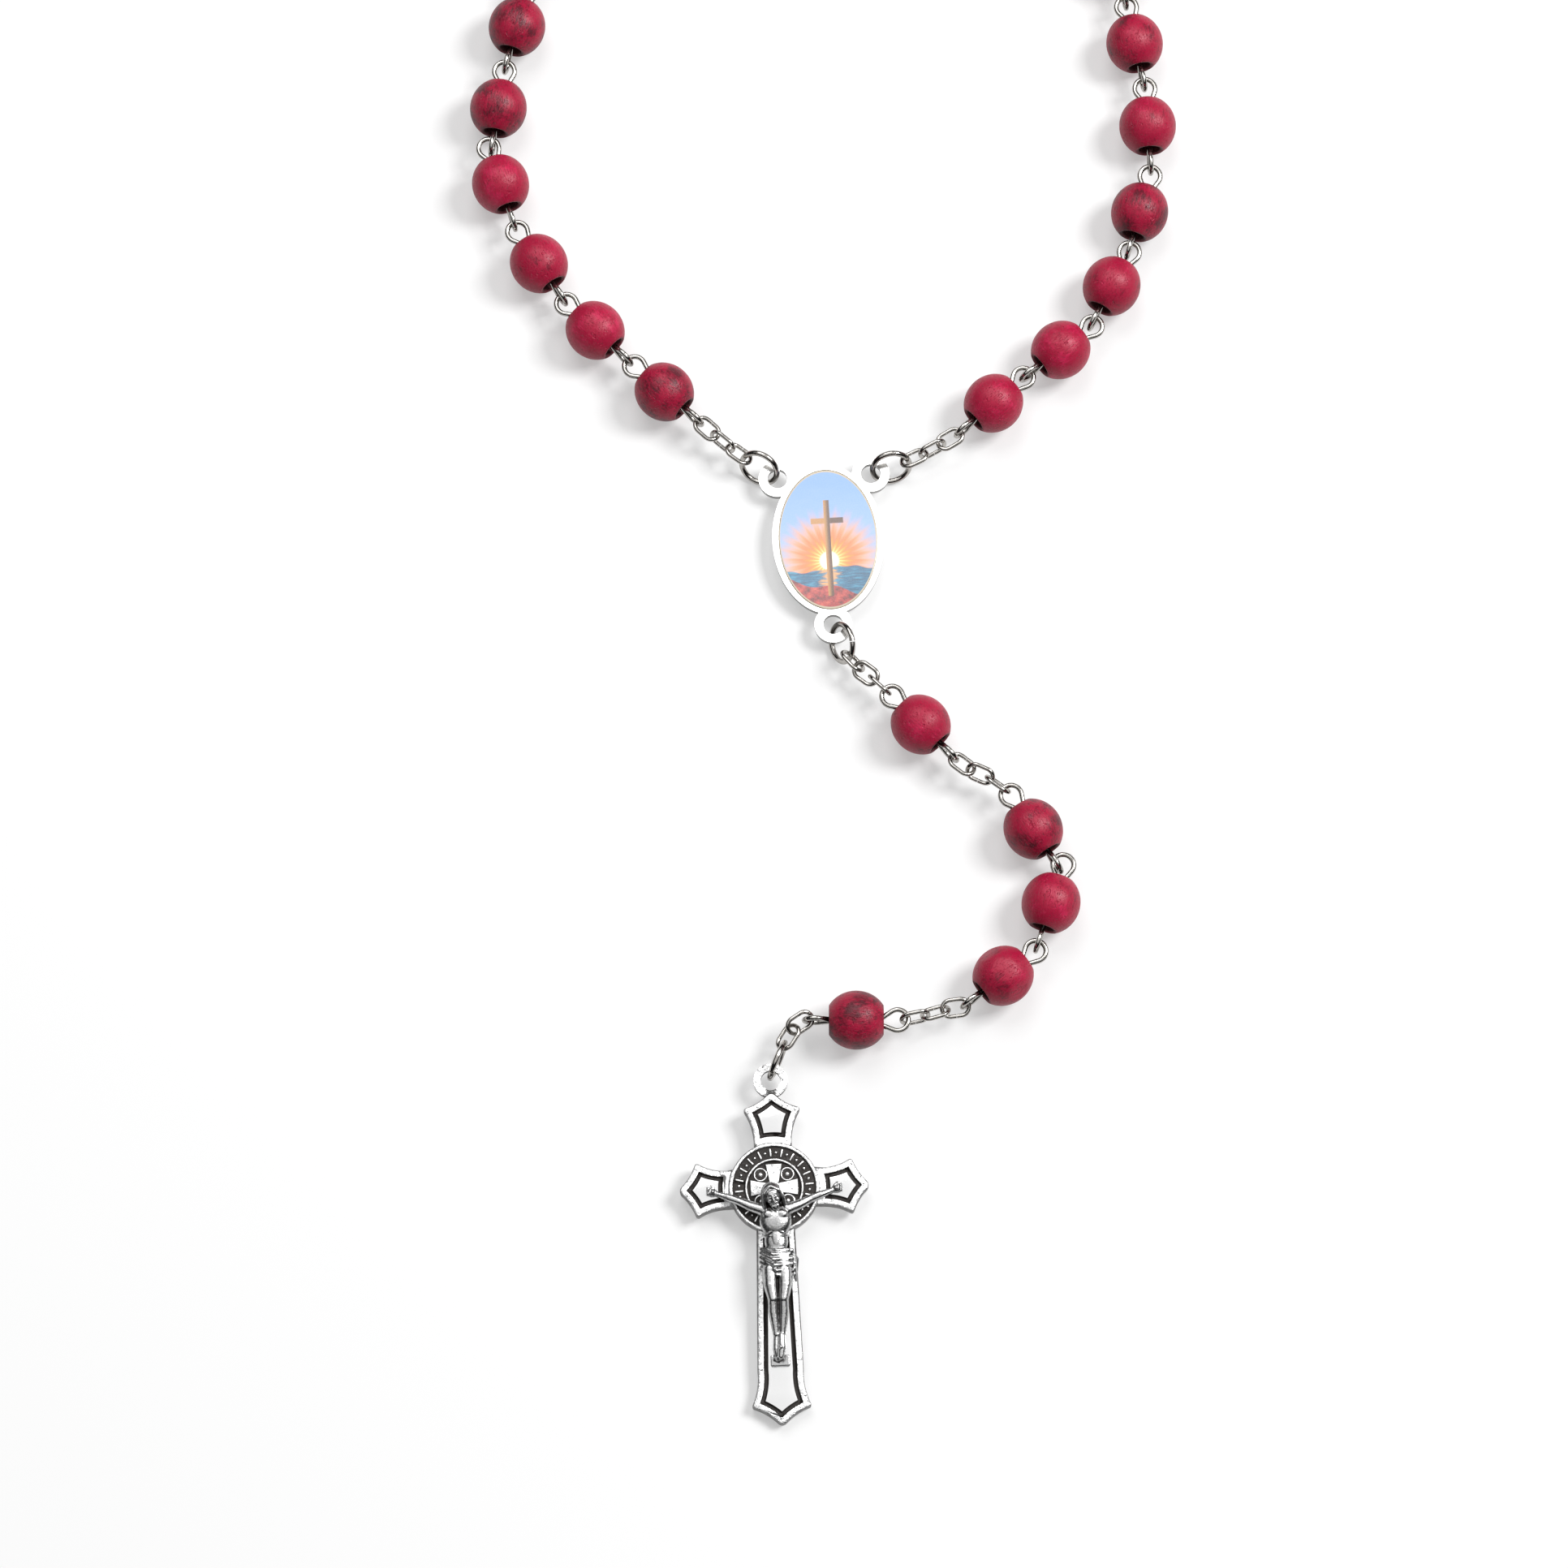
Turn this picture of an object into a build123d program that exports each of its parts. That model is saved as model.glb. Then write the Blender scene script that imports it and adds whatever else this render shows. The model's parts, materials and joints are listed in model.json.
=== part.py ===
from build123d import *
import os
from dataclasses import dataclass
from math import asin, atan2, cos, degrees, hypot, radians, sin

# A five-decade rosary of stained wooden beads on wire eye pins, laid out on a table.
# +Z is up and the table is z = 0. The strands are worked out from the medal, piece by piece,
# and at the end everything is moved so that the origin lies on the table under the middle.
# Lengths are millimetres and angles are degrees. A heading is measured from +X towards +Y.

# ---------------------------------------------------------------- sizes

# wooden bead
BEAD_DIAMETER = 8.0
BEAD_LENGTH = 7.4
BEAD_BORE = 3.0
BEAD_MOUTH = 4.0        # across the flat at each end of the bore
BEAD_MOUTH_ROUND = 0.35
WORN_FLAT_DEPTH = 0.28  # the turner's flats on one bead
WORN_FLATS = 6

# eye pin, one wire with a teardrop eye bent at each end
PIN_WIRE = 0.7
EYE_RADIUS = 1.45       # of the wire's centre line round the end of the eye
EYE_REACH = 3.7         # from the bead's end to the outside of the eye
EYE_NECK_BEND = 1.0     # radius of the bends in the bore's mouth
EYE_FLARE = 35.0        # the leg that comes from the stem leans out by this
EYE_RETURN = 22.0       # the leg that goes back leans in by this
TAIL_LENGTH = 0.5
TAIL_CLEARANCE = 0.1    # between the tucked tail and the stem

# chain link
LINK_WIRE = 0.6
LINK_LENGTH = 4.3       # outside
LINK_WIDTH = 2.9        # outside
LINK_SEAM = 0.06

# jump ring
RING_WIRE = 0.8
RING_DIAMETER = 6.0     # outside
RING_SPLIT = 0.12

# medal, where the two sides of the loop and the pendant meet
MEDAL_WIDTH = 15.4
MEDAL_HEIGHT = 21.6
MEDAL_THICKNESS = 1.0
MEDAL_EDGE_ROUND = 0.12
LUG_RADIUS = 2.6
LUG_HOLE_RADIUS = 1.4
LUG_OUT = 6.5           # of the two upper lugs from the medal's centre line
LUG_UP = 9.2
LUG_DOWN = 12.3
PICTURE_WIDTH = 13.8
PICTURE_HEIGHT = 20.3
PICTURE_RECESS = 0.4
PICTURE_CLEARANCE = 0.05
PICTURE_THICKNESS = 0.45

# crucifix, measured from the centre of its round boss
CROSS_THICKNESS = 1.8
NECK_HALF = 2.55        # half the width of each arm where it leaves the boss
ARM_START = 5.0
SHORT_SHAFT = 6.3       # where the flares of the three short arms start
SIDE_CORNER = 10.5
SIDE_CORNER_HALF = 3.8
SIDE_TIP = 13.1
TOP_CORNER = 10.85
TOP_CORNER_HALF = 3.95
TOP_TIP = 13.2
SHAFT_HALF = 3.1        # half the width of the lower arm where its flare starts
SHAFT_FLARE = 24.6
FOOT_CORNER = 29.5
FOOT_CORNER_HALF = 4.05
FOOT_TIP = 32.2
ARM_HOLLOW = 0.35       # sagitta of the hollow curves beside each corner
CORNER_ROUND = 0.35
TIP_ROUND = 0.8
BOSS_RADIUS = 6.1
BOSS_RISE = 0.25
BOSS_RIM = 0.5
BAND_INNER = 3.95       # the sunk band runs from here out to the rim
BAND_DEPTH = 0.3
CENTRE_RIM = 0.3
EMBLEM_REACH = 3.2      # the small cross in the middle of the boss
EMBLEM_WAIST = 0.45
EMBLEM_END = 1.1
GROOVE_INSET = 0.95     # from the outline to the sunk line that follows it
GROOVE_WIDTH = 0.4
GROOVE_DEPTH = 0.3
BAIL_UP = 14.7
BAIL_RADIUS = 2.3
BAIL_HOLE_RADIUS = 1.35
BAIL_THICKNESS = 1.2

# the figure on the crucifix, in the same measures, with x across and y up
HEAD_PLACE = (-0.3, -1.6, 1.5)
HEAD_SIZE = (2.0, 2.8, 2.2)
SHOULDER = (1.6, -3.55, 0.9)
ELBOW = (4.9, -1.65, 0.8)
HAND = (8.5, -0.4, 0.62)
SHOULDER_THICK = 0.62
ELBOW_THICK = 0.46
WRIST_THICK = 0.38
HAND_RADIUS = 0.72
JOINT_BULGE = 1.07
# height, half width and thickness of the torso from the neck to the waist
TORSO = ((-2.5, 0.55, 1.1), (-3.3, 1.75, 1.5), (-5.0, 1.85, 1.9), (-6.8, 1.35, 1.5), (-8.2, 1.45, 1.5))
CLOTH = ((-8.0, 1.75, 1.9), (-9.4, 2.25, 2.1), (-12.0, 2.15, 1.9))
HIP = (0.95, -11.4, 0.9)
KNEE = (0.72, -15.2, 1.35)
ANKLE = (0.42, -19.8, 0.75)
THIGH_THICK = 0.95
KNEE_THICK = 0.68
ANKLE_THICK = 0.45
TOES = (0.3, -22.9, 0.85)
FOOT_THICK = 0.5
FOOTREST_SIZE = (2.6, 1.6, 0.9)
FOOTREST_PLACE = (0.0, -23.4)

# ---------------------------------------------------------------- how it lies

PLAY = 0.12             # between two wires that hang in one another
SLACK = 0.68            # how far hooked eyes are pushed together past that
LINK_SLACK = 0.15
ARCH_SLACK = 0.35
LUG_SLACK = 0.6
BAIL_SLACK = 0.5
MEDAL_TURN = 3.3
MEDAL_REST = 1.7        # the medal's back above the table, propped up by its rings
RING_SLOPE = 12.0       # of the rings that rise from the medal
BAIL_REST = 2.6         # middle of the crucifix's bail above the table
TOP_PINS = 10

# headings of the pieces that run from the medal's left lug
LEFT_RING = 148
LEFT_LINKS = (145, 141, 139)
LEFT_FIRST = (138, 136, 123, 108, 82)
# and from its right lug
RIGHT_RING = 18
RIGHT_LINKS = (24, 28, 30)
RIGHT_FIRST = (42, 38, 63, 74, 93)
# how far each of those five pins is pushed into the one before it
LEFT_SLACKS = (0.1, 0.0, 0.5, 0.1, 1.6)
RIGHT_SLACKS = (0.1, 1.0, 1.1, 1.5, 0.1)
# The half decades that lean left and right are used crosswise on the two sides, so opposite
# ones are parallel and the loop can open and close without pulling on its own chain.
LEAN_RIGHT = (76, 82, 85, 90, 88)
LEAN_LEFT = (101, 97, 94, 89, 92)
UPPER_LEFT = (95, 92, 96, 91, 94)
UPPER_RIGHT = (86, 90, 85, 89, 87)
MID_LINKS = (84, 97, 88)
MID_LINKS_PAST = (95, 85, 93)
MID_BEAD = 91
# the pendant, from the medal's lower lug to the crucifix
PENDANT_RING = -66
PENDANT_LINKS_1 = (-48, -38, -44)
PENDANT_END_SLACK = 0.4
PENDANT_BEAD_1 = -46
PENDANT_LINKS_2 = (-38, -24, -36)
PENDANT_BEADS_2 = (-58, -108, -142)
PENDANT_SLACKS_2 = (0.1, 1.6, 0.6)
PENDANT_LINKS_3 = (-172, -164, -168)
PENDANT_BEAD_5 = -180
PENDANT_LINKS_4 = (-146, -122)
PENDANT_END_RING = -113
CRUCIFIX_HEADING = -88

# ---------------------------------------------------------------- worked out from them

PIN_REACH = BEAD_LENGTH / 2 + EYE_REACH - PIN_WIRE / 2   # bead's centre to the eye's end wire
PIN_PITCH = 2 * PIN_REACH
LINK_PITCH = LINK_LENGTH - LINK_WIRE
RING_PITCH = RING_DIAMETER - RING_WIRE
PITCH = {"pin": PIN_PITCH, "link": LINK_PITCH, "ring": RING_PITCH}
WIRE = {"pin": PIN_WIRE, "link": LINK_WIRE, "ring": RING_WIRE}
STRAND_HEIGHT = BEAD_DIAMETER / 2
RINGS_IN_LUG = LUG_HOLE_RADIUS - RING_WIRE / 2 - LUG_SLACK
RING_IN_BAIL = BAIL_HOLE_RADIUS - RING_WIRE / 2 - BAIL_SLACK


@dataclass
class Piece:
    """One piece of a strand. Its plane starts at the wire it hangs by and runs along the strand."""

    kind: str
    heading: float
    roll_in: float = 0.0
    roll_out: float = 0.0
    slack: float = 0.0
    slope: float = 0.0
    plane: Plane = None

    def far_end(self):
        return self.plane.from_local_coords(Vector(PITCH[self.kind], 0, 0))

    def middle(self):
        return Plane(self.plane.from_local_coords(Vector(PITCH[self.kind] / 2, 0, 0)),
                     x_dir=self.plane.x_dir, z_dir=self.plane.z_dir)

    def swing_axis(self):
        """Along the wire it hangs by."""
        roll = radians(self.roll_in)
        return self.plane.y_dir * cos(roll) + self.plane.z_dir * sin(roll)

    def far_axis(self):
        """Along its far wire, which the next piece hangs on."""
        roll = radians(self.roll_out)
        return self.plane.y_dir * cos(roll) + self.plane.z_dir * sin(roll)


def lie(place, heading, slope=0.0):
    """The plane at a place with x along a heading and z upward."""
    turn, rise = radians(heading), radians(slope)
    along = Vector(cos(turn) * cos(rise), sin(turn) * cos(rise), sin(rise))
    upward = Vector(-cos(turn) * sin(rise), -sin(turn) * sin(rise), cos(rise))
    return Plane(place, x_dir=along, z_dir=upward)


def upright(roll):
    """How steeply a wire stands, from 0 to 1."""
    return abs(sin(radians(roll)))


def run(pieces, before):
    """Hang each piece on the one before it. It has swung round the more upright of the two wires."""
    for piece in pieces:
        hook = (WIRE[before.kind] + WIRE[piece.kind]) / 2 + PLAY + piece.slack
        own = lie(before.far_end(), piece.heading, piece.slope)
        pulled = own if upright(before.roll_out) > upright(piece.roll_in) else before.plane
        piece.plane = lie(before.far_end() - pulled.x_dir * hook, piece.heading, piece.slope)
        before = piece
    return pieces


def links(headings, rolls, slack=LINK_SLACK):
    return [Piece("link", heading, roll, roll, slack) for heading, roll in zip(headings, rolls)]


def pins(headings, slacks=None, rolls=(90, 0)):
    slacks = slacks or (SLACK,) * len(headings)
    return [Piece("pin", heading, *rolls, slack) for heading, slack in zip(headings, slacks)]


def first_ring(hole, heading, roll):
    """A jump ring through a lug, pulled to the outside of the hole."""
    flat = lie(hole, heading)
    start = hole + flat.x_dir * RINGS_IN_LUG
    return Piece("ring", heading, roll, roll, slope=RING_SLOPE, plane=lie(start, heading, RING_SLOPE))


def climb(ring, chain, pin):
    """Find the slope of a chain that lifts the pin after it to the strands' height, by halving."""
    low, high = 0.0, 45.0
    for _ in range(36):
        slope = (low + high) / 2
        for link in chain:
            link.slope = slope
        run(chain + [pin], ring)
        if pin.plane.origin.Z < STRAND_HEIGHT:
            low = slope
        else:
            high = slope


# ---------------------------------------------------------------- strands

medal_plane = Plane((0, 0, MEDAL_REST), x_dir=(cos(radians(MEDAL_TURN)), sin(radians(MEDAL_TURN)), 0))
half_thickness = MEDAL_THICKNESS / 2
left_hole = medal_plane.from_local_coords(Vector(-LUG_OUT, LUG_UP, half_thickness))
right_hole = medal_plane.from_local_coords(Vector(LUG_OUT, LUG_UP, half_thickness))
lower_hole = medal_plane.from_local_coords(Vector(0, -LUG_DOWN, half_thickness))

# On the loop an eye stands upright where a pin starts and lies flat where it ends, and links
# turn by equal steps between them. On the pendant it is the other way round.
LEFT_ROLLS = (120, 30, 110, 10)     # the ring and the links after it
RIGHT_ROLLS = (60, 150, 70, 170)
LOOP_LINK_ROLLS = (67.5, 135, 22.5)
PENDANT_RING_ROLL = 60
PENDANT_LEAD_ROLLS = (127.5, 25, 102.5)
PENDANT_LINK_ROLLS = (157.5, 45, 112.5)
PENDANT_END_ROLLS = (150, 30)
END_RING_ROLL = 90


def loop_side(hole, rolls, ring_heading, lead_headings, first, first_slacks, lower, upper, last):
    """One side of the loop from the medal to the top decade, as named groups of pieces."""
    side = {}
    ring = first_ring(hole, ring_heading, rolls[0])
    lead = links(lead_headings, rolls[1:])
    first_pins = pins(first, first_slacks)
    climb(ring, lead, first_pins[0])
    side["jump_ring"] = [ring]
    side["lead_links"] = lead
    groups = (
        ("decade_1a", first_pins),
        ("decade_1b", pins(lower)),
        ("our_father_1", our_father()),
        ("decade_2a", pins(upper)),
        ("decade_2b", pins(last)),
        ("our_father_2", our_father()),
    )
    before = lead[-1]
    for name, pieces in groups:
        side[name] = run(pieces, before)
        before = pieces[-1]
    return side


def our_father():
    """A single bead with three links on each side of it.

    Its first wire is as far from the wire it hangs by as two hooked pins' wires are, so that
    opposite half decades are the same from pivot to pivot.
    """
    group = (links(MID_LINKS, LOOP_LINK_ROLLS) + pins([MID_BEAD], [LINK_SLACK])
             + links(MID_LINKS_PAST, LOOP_LINK_ROLLS))
    group[0].slack = SLACK + (PIN_WIRE - LINK_WIRE) / 2
    return group


left = loop_side(left_hole, LEFT_ROLLS, LEFT_RING, LEFT_LINKS, LEFT_FIRST, LEFT_SLACKS,
                 LEAN_RIGHT, LEAN_LEFT, UPPER_LEFT)
right = loop_side(right_hole, RIGHT_ROLLS, RIGHT_RING, RIGHT_LINKS, RIGHT_FIRST, RIGHT_SLACKS,
                  LEAN_LEFT, LEAN_RIGHT, UPPER_RIGHT)


def top_arch(turn, start_heading, before):
    """The top decade, each pin turned clockwise from the last by the same angle."""
    headings = [start_heading - i * turn for i in range(TOP_PINS)]
    arch = pins(headings)
    arch[0].slack = ARCH_SLACK
    arch[-1].roll_out = 90 - LOOP_LINK_ROLLS[-1]
    return run(arch, before)


def arch_end(arch):
    """Where the wire must lie that the last pin of the arch is hooked to."""
    hook = (PIN_WIRE + LINK_WIRE) / 2 + PLAY + ARCH_SLACK
    return arch[-1].far_end() - arch[-1].plane.x_dir * hook


def close_loop(before, target):
    """Find the turn that makes the top decade span the gap, by halving."""
    low, high = 5.0, 30.0
    for _ in range(36):
        turn = (low + high) / 2
        arch = top_arch(turn, 0.0, before)
        span = arch_end(arch) - arch[0].plane.origin
        wanted = target - arch[0].plane.origin
        if hypot(span.X, span.Y) > hypot(wanted.X, wanted.Y):
            low = turn
        else:
            high = turn
    start = degrees(atan2(wanted.Y, wanted.X) - atan2(span.Y, span.X))
    return top_arch(turn, start, before)


top = close_loop(left["our_father_2"][-1], right["our_father_2"][-1].far_end())

pendant = {}
pendant["jump_ring"] = [first_ring(lower_hole, PENDANT_RING, PENDANT_RING_ROLL)]
pendant_lead = links(PENDANT_LINKS_1, PENDANT_LEAD_ROLLS, PENDANT_END_SLACK)
pendant_first = pins([PENDANT_BEAD_1], [LINK_SLACK], (0, 90))
climb(pendant["jump_ring"][0], pendant_lead, pendant_first[0])
pendant_groups = (
    ("links_1", pendant_lead),
    ("pin_1", pendant_first),
    ("links_2", links(PENDANT_LINKS_2, PENDANT_LINK_ROLLS)),
    ("pins_2", pins(PENDANT_BEADS_2, PENDANT_SLACKS_2, (0, 90))),
    ("links_3", links(PENDANT_LINKS_3, PENDANT_LINK_ROLLS)),
    ("pin_5", pins([PENDANT_BEAD_5], [LINK_SLACK], (0, 90))),
    ("links_4", links(PENDANT_LINKS_4, PENDANT_END_ROLLS, PENDANT_END_SLACK)),
)
hung = pendant["jump_ring"][-1]
for group_name, group in pendant_groups:
    pendant[group_name] = run(group, hung)
    hung = group[-1]

# the last ring comes down to the crucifix's bail
drop = STRAND_HEIGHT - BAIL_REST
end_ring = Piece("ring", PENDANT_END_RING, END_RING_ROLL, END_RING_ROLL, LINK_SLACK,
                 -degrees(asin(drop / (RING_PITCH - RING_IN_BAIL))))
pendant["end_ring"] = run([end_ring], hung)

# The crucifix hangs from that ring by the far side of its bail's hole, and its foot is down.
bail_middle = CROSS_THICKNESS / 2
foot_reach = BAIL_UP + FOOT_TIP
cross_slope = -degrees(asin((BAIL_REST - bail_middle) / foot_reach))
ring_end = end_ring.far_end()
level = lie(ring_end, CRUCIFIX_HEADING, cross_slope)
bail_place = ring_end + level.x_dir * RING_IN_BAIL
bail_centre = Vector(bail_place.X, bail_place.Y, BAIL_REST)
cross_along = lie(bail_centre, CRUCIFIX_HEADING, cross_slope)
boss_centre = bail_centre + cross_along.x_dir * BAIL_UP - cross_along.z_dir * bail_middle
# x across the crucifix to the right, y up towards the bail and z out of its front
cross_plane = Plane(boss_centre, x_dir=cross_along.y_dir, z_dir=cross_along.z_dir)

# ---------------------------------------------------------------- shapes

# Half an eye pin: from the middle of the stem out to the tucked tail, with its eye in XY.
flare, back = radians(EYE_FLARE), radians(EYE_RETURN)
tail_offset = PIN_WIRE + TAIL_CLEARANCE
leg_out = (EYE_RADIUS * cos(flare) - EYE_NECK_BEND * (1 - cos(flare))) / sin(flare)
leg_back = (EYE_RADIUS * cos(back) - EYE_NECK_BEND * (1 - cos(back)) - tail_offset) / sin(back)
eye_centre = (EYE_NECK_BEND + EYE_RADIUS) * sin(flare) + leg_out * cos(flare)
stem_end = PIN_REACH - EYE_RADIUS - eye_centre
with BuildPart() as half_pin:
    with BuildLine() as pin_path:
        stem = Line((0, 0), (stem_end, 0))
        neck = JernArc(stem @ 1, stem % 1, EYE_NECK_BEND, EYE_FLARE)
        out = PolarLine(neck @ 1, leg_out, direction=neck % 1)
        eye = JernArc(out @ 1, out % 1, EYE_RADIUS, -(180 + EYE_FLARE + EYE_RETURN))
        home = PolarLine(eye @ 1, leg_back, direction=eye % 1)
        tuck = JernArc(home @ 1, home % 1, EYE_NECK_BEND, EYE_RETURN)
        tail = PolarLine(tuck @ 1, TAIL_LENGTH, direction=tuck % 1)
    with BuildSketch(Plane.YZ):
        Circle(PIN_WIRE / 2)
    sweep()


def eye_pin(roll_in, roll_out):
    """A whole pin about its own middle, with the eyes turned about its length."""
    with BuildPart() as pin:
        add(half_pin.part, rotation=(roll_out, 0, 0))
        add(half_pin.part.rotate(Axis.Z, 180), rotation=(roll_in, 0, 0))
    return pin.part


# A link is a round-ended oval with its seam in the middle of one side.
straight = LINK_LENGTH - LINK_WIDTH
link_bend = (LINK_WIDTH - LINK_WIRE) / 2
with BuildPart() as chain_link:
    with BuildLine() as link_path:
        first_side = Line((LINK_SEAM / 2, -link_bend), (straight / 2, -link_bend))
        far_bend = JernArc(first_side @ 1, first_side % 1, link_bend, 180)
        whole_side = Line(far_bend @ 1, (-straight / 2, link_bend))
        near_bend = JernArc(whole_side @ 1, whole_side % 1, link_bend, 180)
        last_side = Line(near_bend @ 1, (-LINK_SEAM / 2, -link_bend))
    with BuildSketch(Plane(first_side @ 0, z_dir=first_side % 0)):
        Circle(LINK_WIRE / 2)
    sweep()

# A jump ring is a turn of thicker wire, split on one side.
ring_bend = RING_PITCH / 2
split_angle = degrees(RING_SPLIT / ring_bend)
with BuildPart() as jump_ring:
    with BuildSketch(Plane.XZ):
        with Locations((ring_bend, 0)):
            Circle(RING_WIRE / 2)
    revolve(axis=Axis.Z, revolution_arc=360 - split_angle)
jump_ring_shape = jump_ring.part.rotate(Axis.Z, 60)


# A bead is a section above its own axis, X, turned round it, less the bore.
half_bead = BEAD_LENGTH / 2
mouth_angle = asin(BEAD_MOUTH / BEAD_DIAMETER)     # along the elliptic wall, from the axis
with BuildPart() as bead:
    with BuildSketch() as bead_section:
        with BuildLine():
            outside = EllipticalCenterArc((0, 0), half_bead / cos(mouth_angle), BEAD_DIAMETER / 2,
                                          start_angle=degrees(mouth_angle),
                                          arc_size=180 - 2 * degrees(mouth_angle))
            Polyline(outside @ 1, (-half_bead, BEAD_BORE / 2), (half_bead, BEAD_BORE / 2), outside @ 0)
        make_face()
        fillet(bead_section.vertices().group_by(Axis.Y)[0], BEAD_MOUTH_ROUND)
    revolve(axis=Axis.X)

# One bead of the pendant kept the flats of the rod that it was turned from.
with BuildPart() as worn_bead:
    add(bead.part)
    with BuildSketch(Plane.YZ.offset(-BEAD_LENGTH)):
        RegularPolygon(BEAD_DIAMETER / 2 - WORN_FLAT_DEPTH, WORN_FLATS, major_radius=False)
    extrude(amount=2 * BEAD_LENGTH, mode=Mode.INTERSECT)

pin_shapes = {}


def shape_of(piece):
    """The piece's own shape, about its middle."""
    if piece.kind == "pin":
        rolls = (piece.roll_in, piece.roll_out)
        if rolls not in pin_shapes:
            pin_shapes[rolls] = eye_pin(*rolls)
        return pin_shapes[rolls]
    if piece.kind == "link":
        return chain_link.part.rotate(Axis.X, piece.roll_in)
    return jump_ring_shape.rotate(Axis.X, piece.roll_in)


nodes = {}


def wirework(name, pieces):
    """The wire pieces of one group, as separate solids of one node."""
    with BuildPart() as wires:
        add([shape_of(piece).moved(piece.middle().location) for piece in pieces])
    nodes[name] = wires


def beads_on(name, pieces, shape=None):
    """A bead on each pin of a group, as separate solids of one node."""
    with BuildPart() as beads:
        add([(shape or bead.part).moved(piece.middle().location) for piece in pieces])
    nodes[name] = beads


# ---------------------------------------------------------------- medal

lugs = [(-LUG_OUT, LUG_UP), (LUG_OUT, LUG_UP), (0, -LUG_DOWN)]
with BuildPart() as medal_frame:
    with BuildSketch(medal_plane):
        Ellipse(MEDAL_WIDTH / 2, MEDAL_HEIGHT / 2)
        with Locations(*lugs):
            Circle(LUG_RADIUS)
            Circle(LUG_HOLE_RADIUS, mode=Mode.SUBTRACT)
    extrude(amount=MEDAL_THICKNESS)
    with BuildSketch(medal_plane.offset(MEDAL_THICKNESS)):
        Ellipse(PICTURE_WIDTH / 2, PICTURE_HEIGHT / 2)
    extrude(amount=-PICTURE_RECESS, mode=Mode.SUBTRACT)
nodes["medal_frame"] = medal_frame

with BuildPart() as medal_picture:
    with BuildSketch(medal_plane.offset(MEDAL_THICKNESS - PICTURE_RECESS)):
        Ellipse(PICTURE_WIDTH / 2 - PICTURE_CLEARANCE, PICTURE_HEIGHT / 2 - PICTURE_CLEARANCE)
    extrude(amount=PICTURE_THICKNESS)
    fillet(medal_picture.faces().sort_by(Axis.Z)[-1].edges(), MEDAL_EDGE_ROUND)
nodes["medal_picture"] = medal_picture

# ---------------------------------------------------------------- loop

for side_name, side in (("left", left), ("right", right)):
    for part_name, pieces in side.items():
        name = f"{side_name}_{part_name}"
        pin_pieces = [piece for piece in pieces if piece.kind == "pin"]
        if not pin_pieces:
            wirework(name, pieces)
        elif len(pin_pieces) == 1:
            beads_on(f"{name}_bead", pin_pieces)
            wirework(f"{name}_wirework", pieces)
        else:
            beads_on(f"{name}_beads", pin_pieces)
            wirework(f"{name}_eye_pins", pieces)
beads_on("top_decade_beads", top)
wirework("top_decade_eye_pins", top)

# ---------------------------------------------------------------- pendant

wirework("pendant_jump_ring", pendant["jump_ring"])
pendant_pins = pendant["pin_1"] + pendant["pins_2"] + pendant["pin_5"]
WORN_ONE = 3
for index, piece in enumerate(pendant_pins):
    beads_on(f"pendant_bead_{index + 1}", [piece], worn_bead.part if index == WORN_ONE else None)
    wirework(f"pendant_eye_pin_{index + 1}", [piece])
for chain in (1, 2, 3, 4):
    for letter, piece in zip("abc", pendant[f"links_{chain}"]):
        wirework(f"pendant_link_{chain}{letter}", [piece])
wirework("crucifix_jump_ring", pendant["end_ring"])

# ---------------------------------------------------------------- crucifix


def arm(corner, corner_half, tip, shaft_end, shaft_half):
    """An arm along +X: a shaft, hollow flares out to two corners and a hollow-sided point."""
    with BuildSketch() as sketch:
        with BuildLine():
            for side in (1, -1):
                Line((ARM_START, 0), (ARM_START, side * NECK_HALF))
                Line((ARM_START, side * NECK_HALF), (shaft_end, side * shaft_half))
                SagittaArc((shaft_end, side * shaft_half), (corner, side * corner_half),
                           -side * ARM_HOLLOW)
                SagittaArc((corner, side * corner_half), (tip, 0), -side * ARM_HOLLOW)
        make_face()
    return sketch.sketch


def rounded(outline):
    """The same arm with its point and its two corners rounded."""
    with BuildSketch() as sketch:
        add(outline)
        fillet(sketch.vertices().sort_by(Axis.X)[-1], TIP_ROUND)
        by_width = sketch.vertices().sort_by(Axis.Y)
        fillet([by_width[0], by_width[-1]], CORNER_ROUND)
    return sketch.sketch


side_arm = arm(SIDE_CORNER, SIDE_CORNER_HALF, SIDE_TIP, SHORT_SHAFT, NECK_HALF)
top_arm = arm(TOP_CORNER, TOP_CORNER_HALF, TOP_TIP, SHORT_SHAFT, NECK_HALF)
lower_arm = arm(FOOT_CORNER, FOOT_CORNER_HALF, FOOT_TIP, SHAFT_FLARE, SHAFT_HALF)
ARMS = ((0, side_arm), (90, top_arm), (180, side_arm), (270, lower_arm))

with BuildSketch() as emblem_arm:
    with BuildLine():
        Polyline((0, -EMBLEM_WAIST), (EMBLEM_REACH, -EMBLEM_END),
                 (EMBLEM_REACH, EMBLEM_END), (0, EMBLEM_WAIST), close=True)
    make_face()

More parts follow.
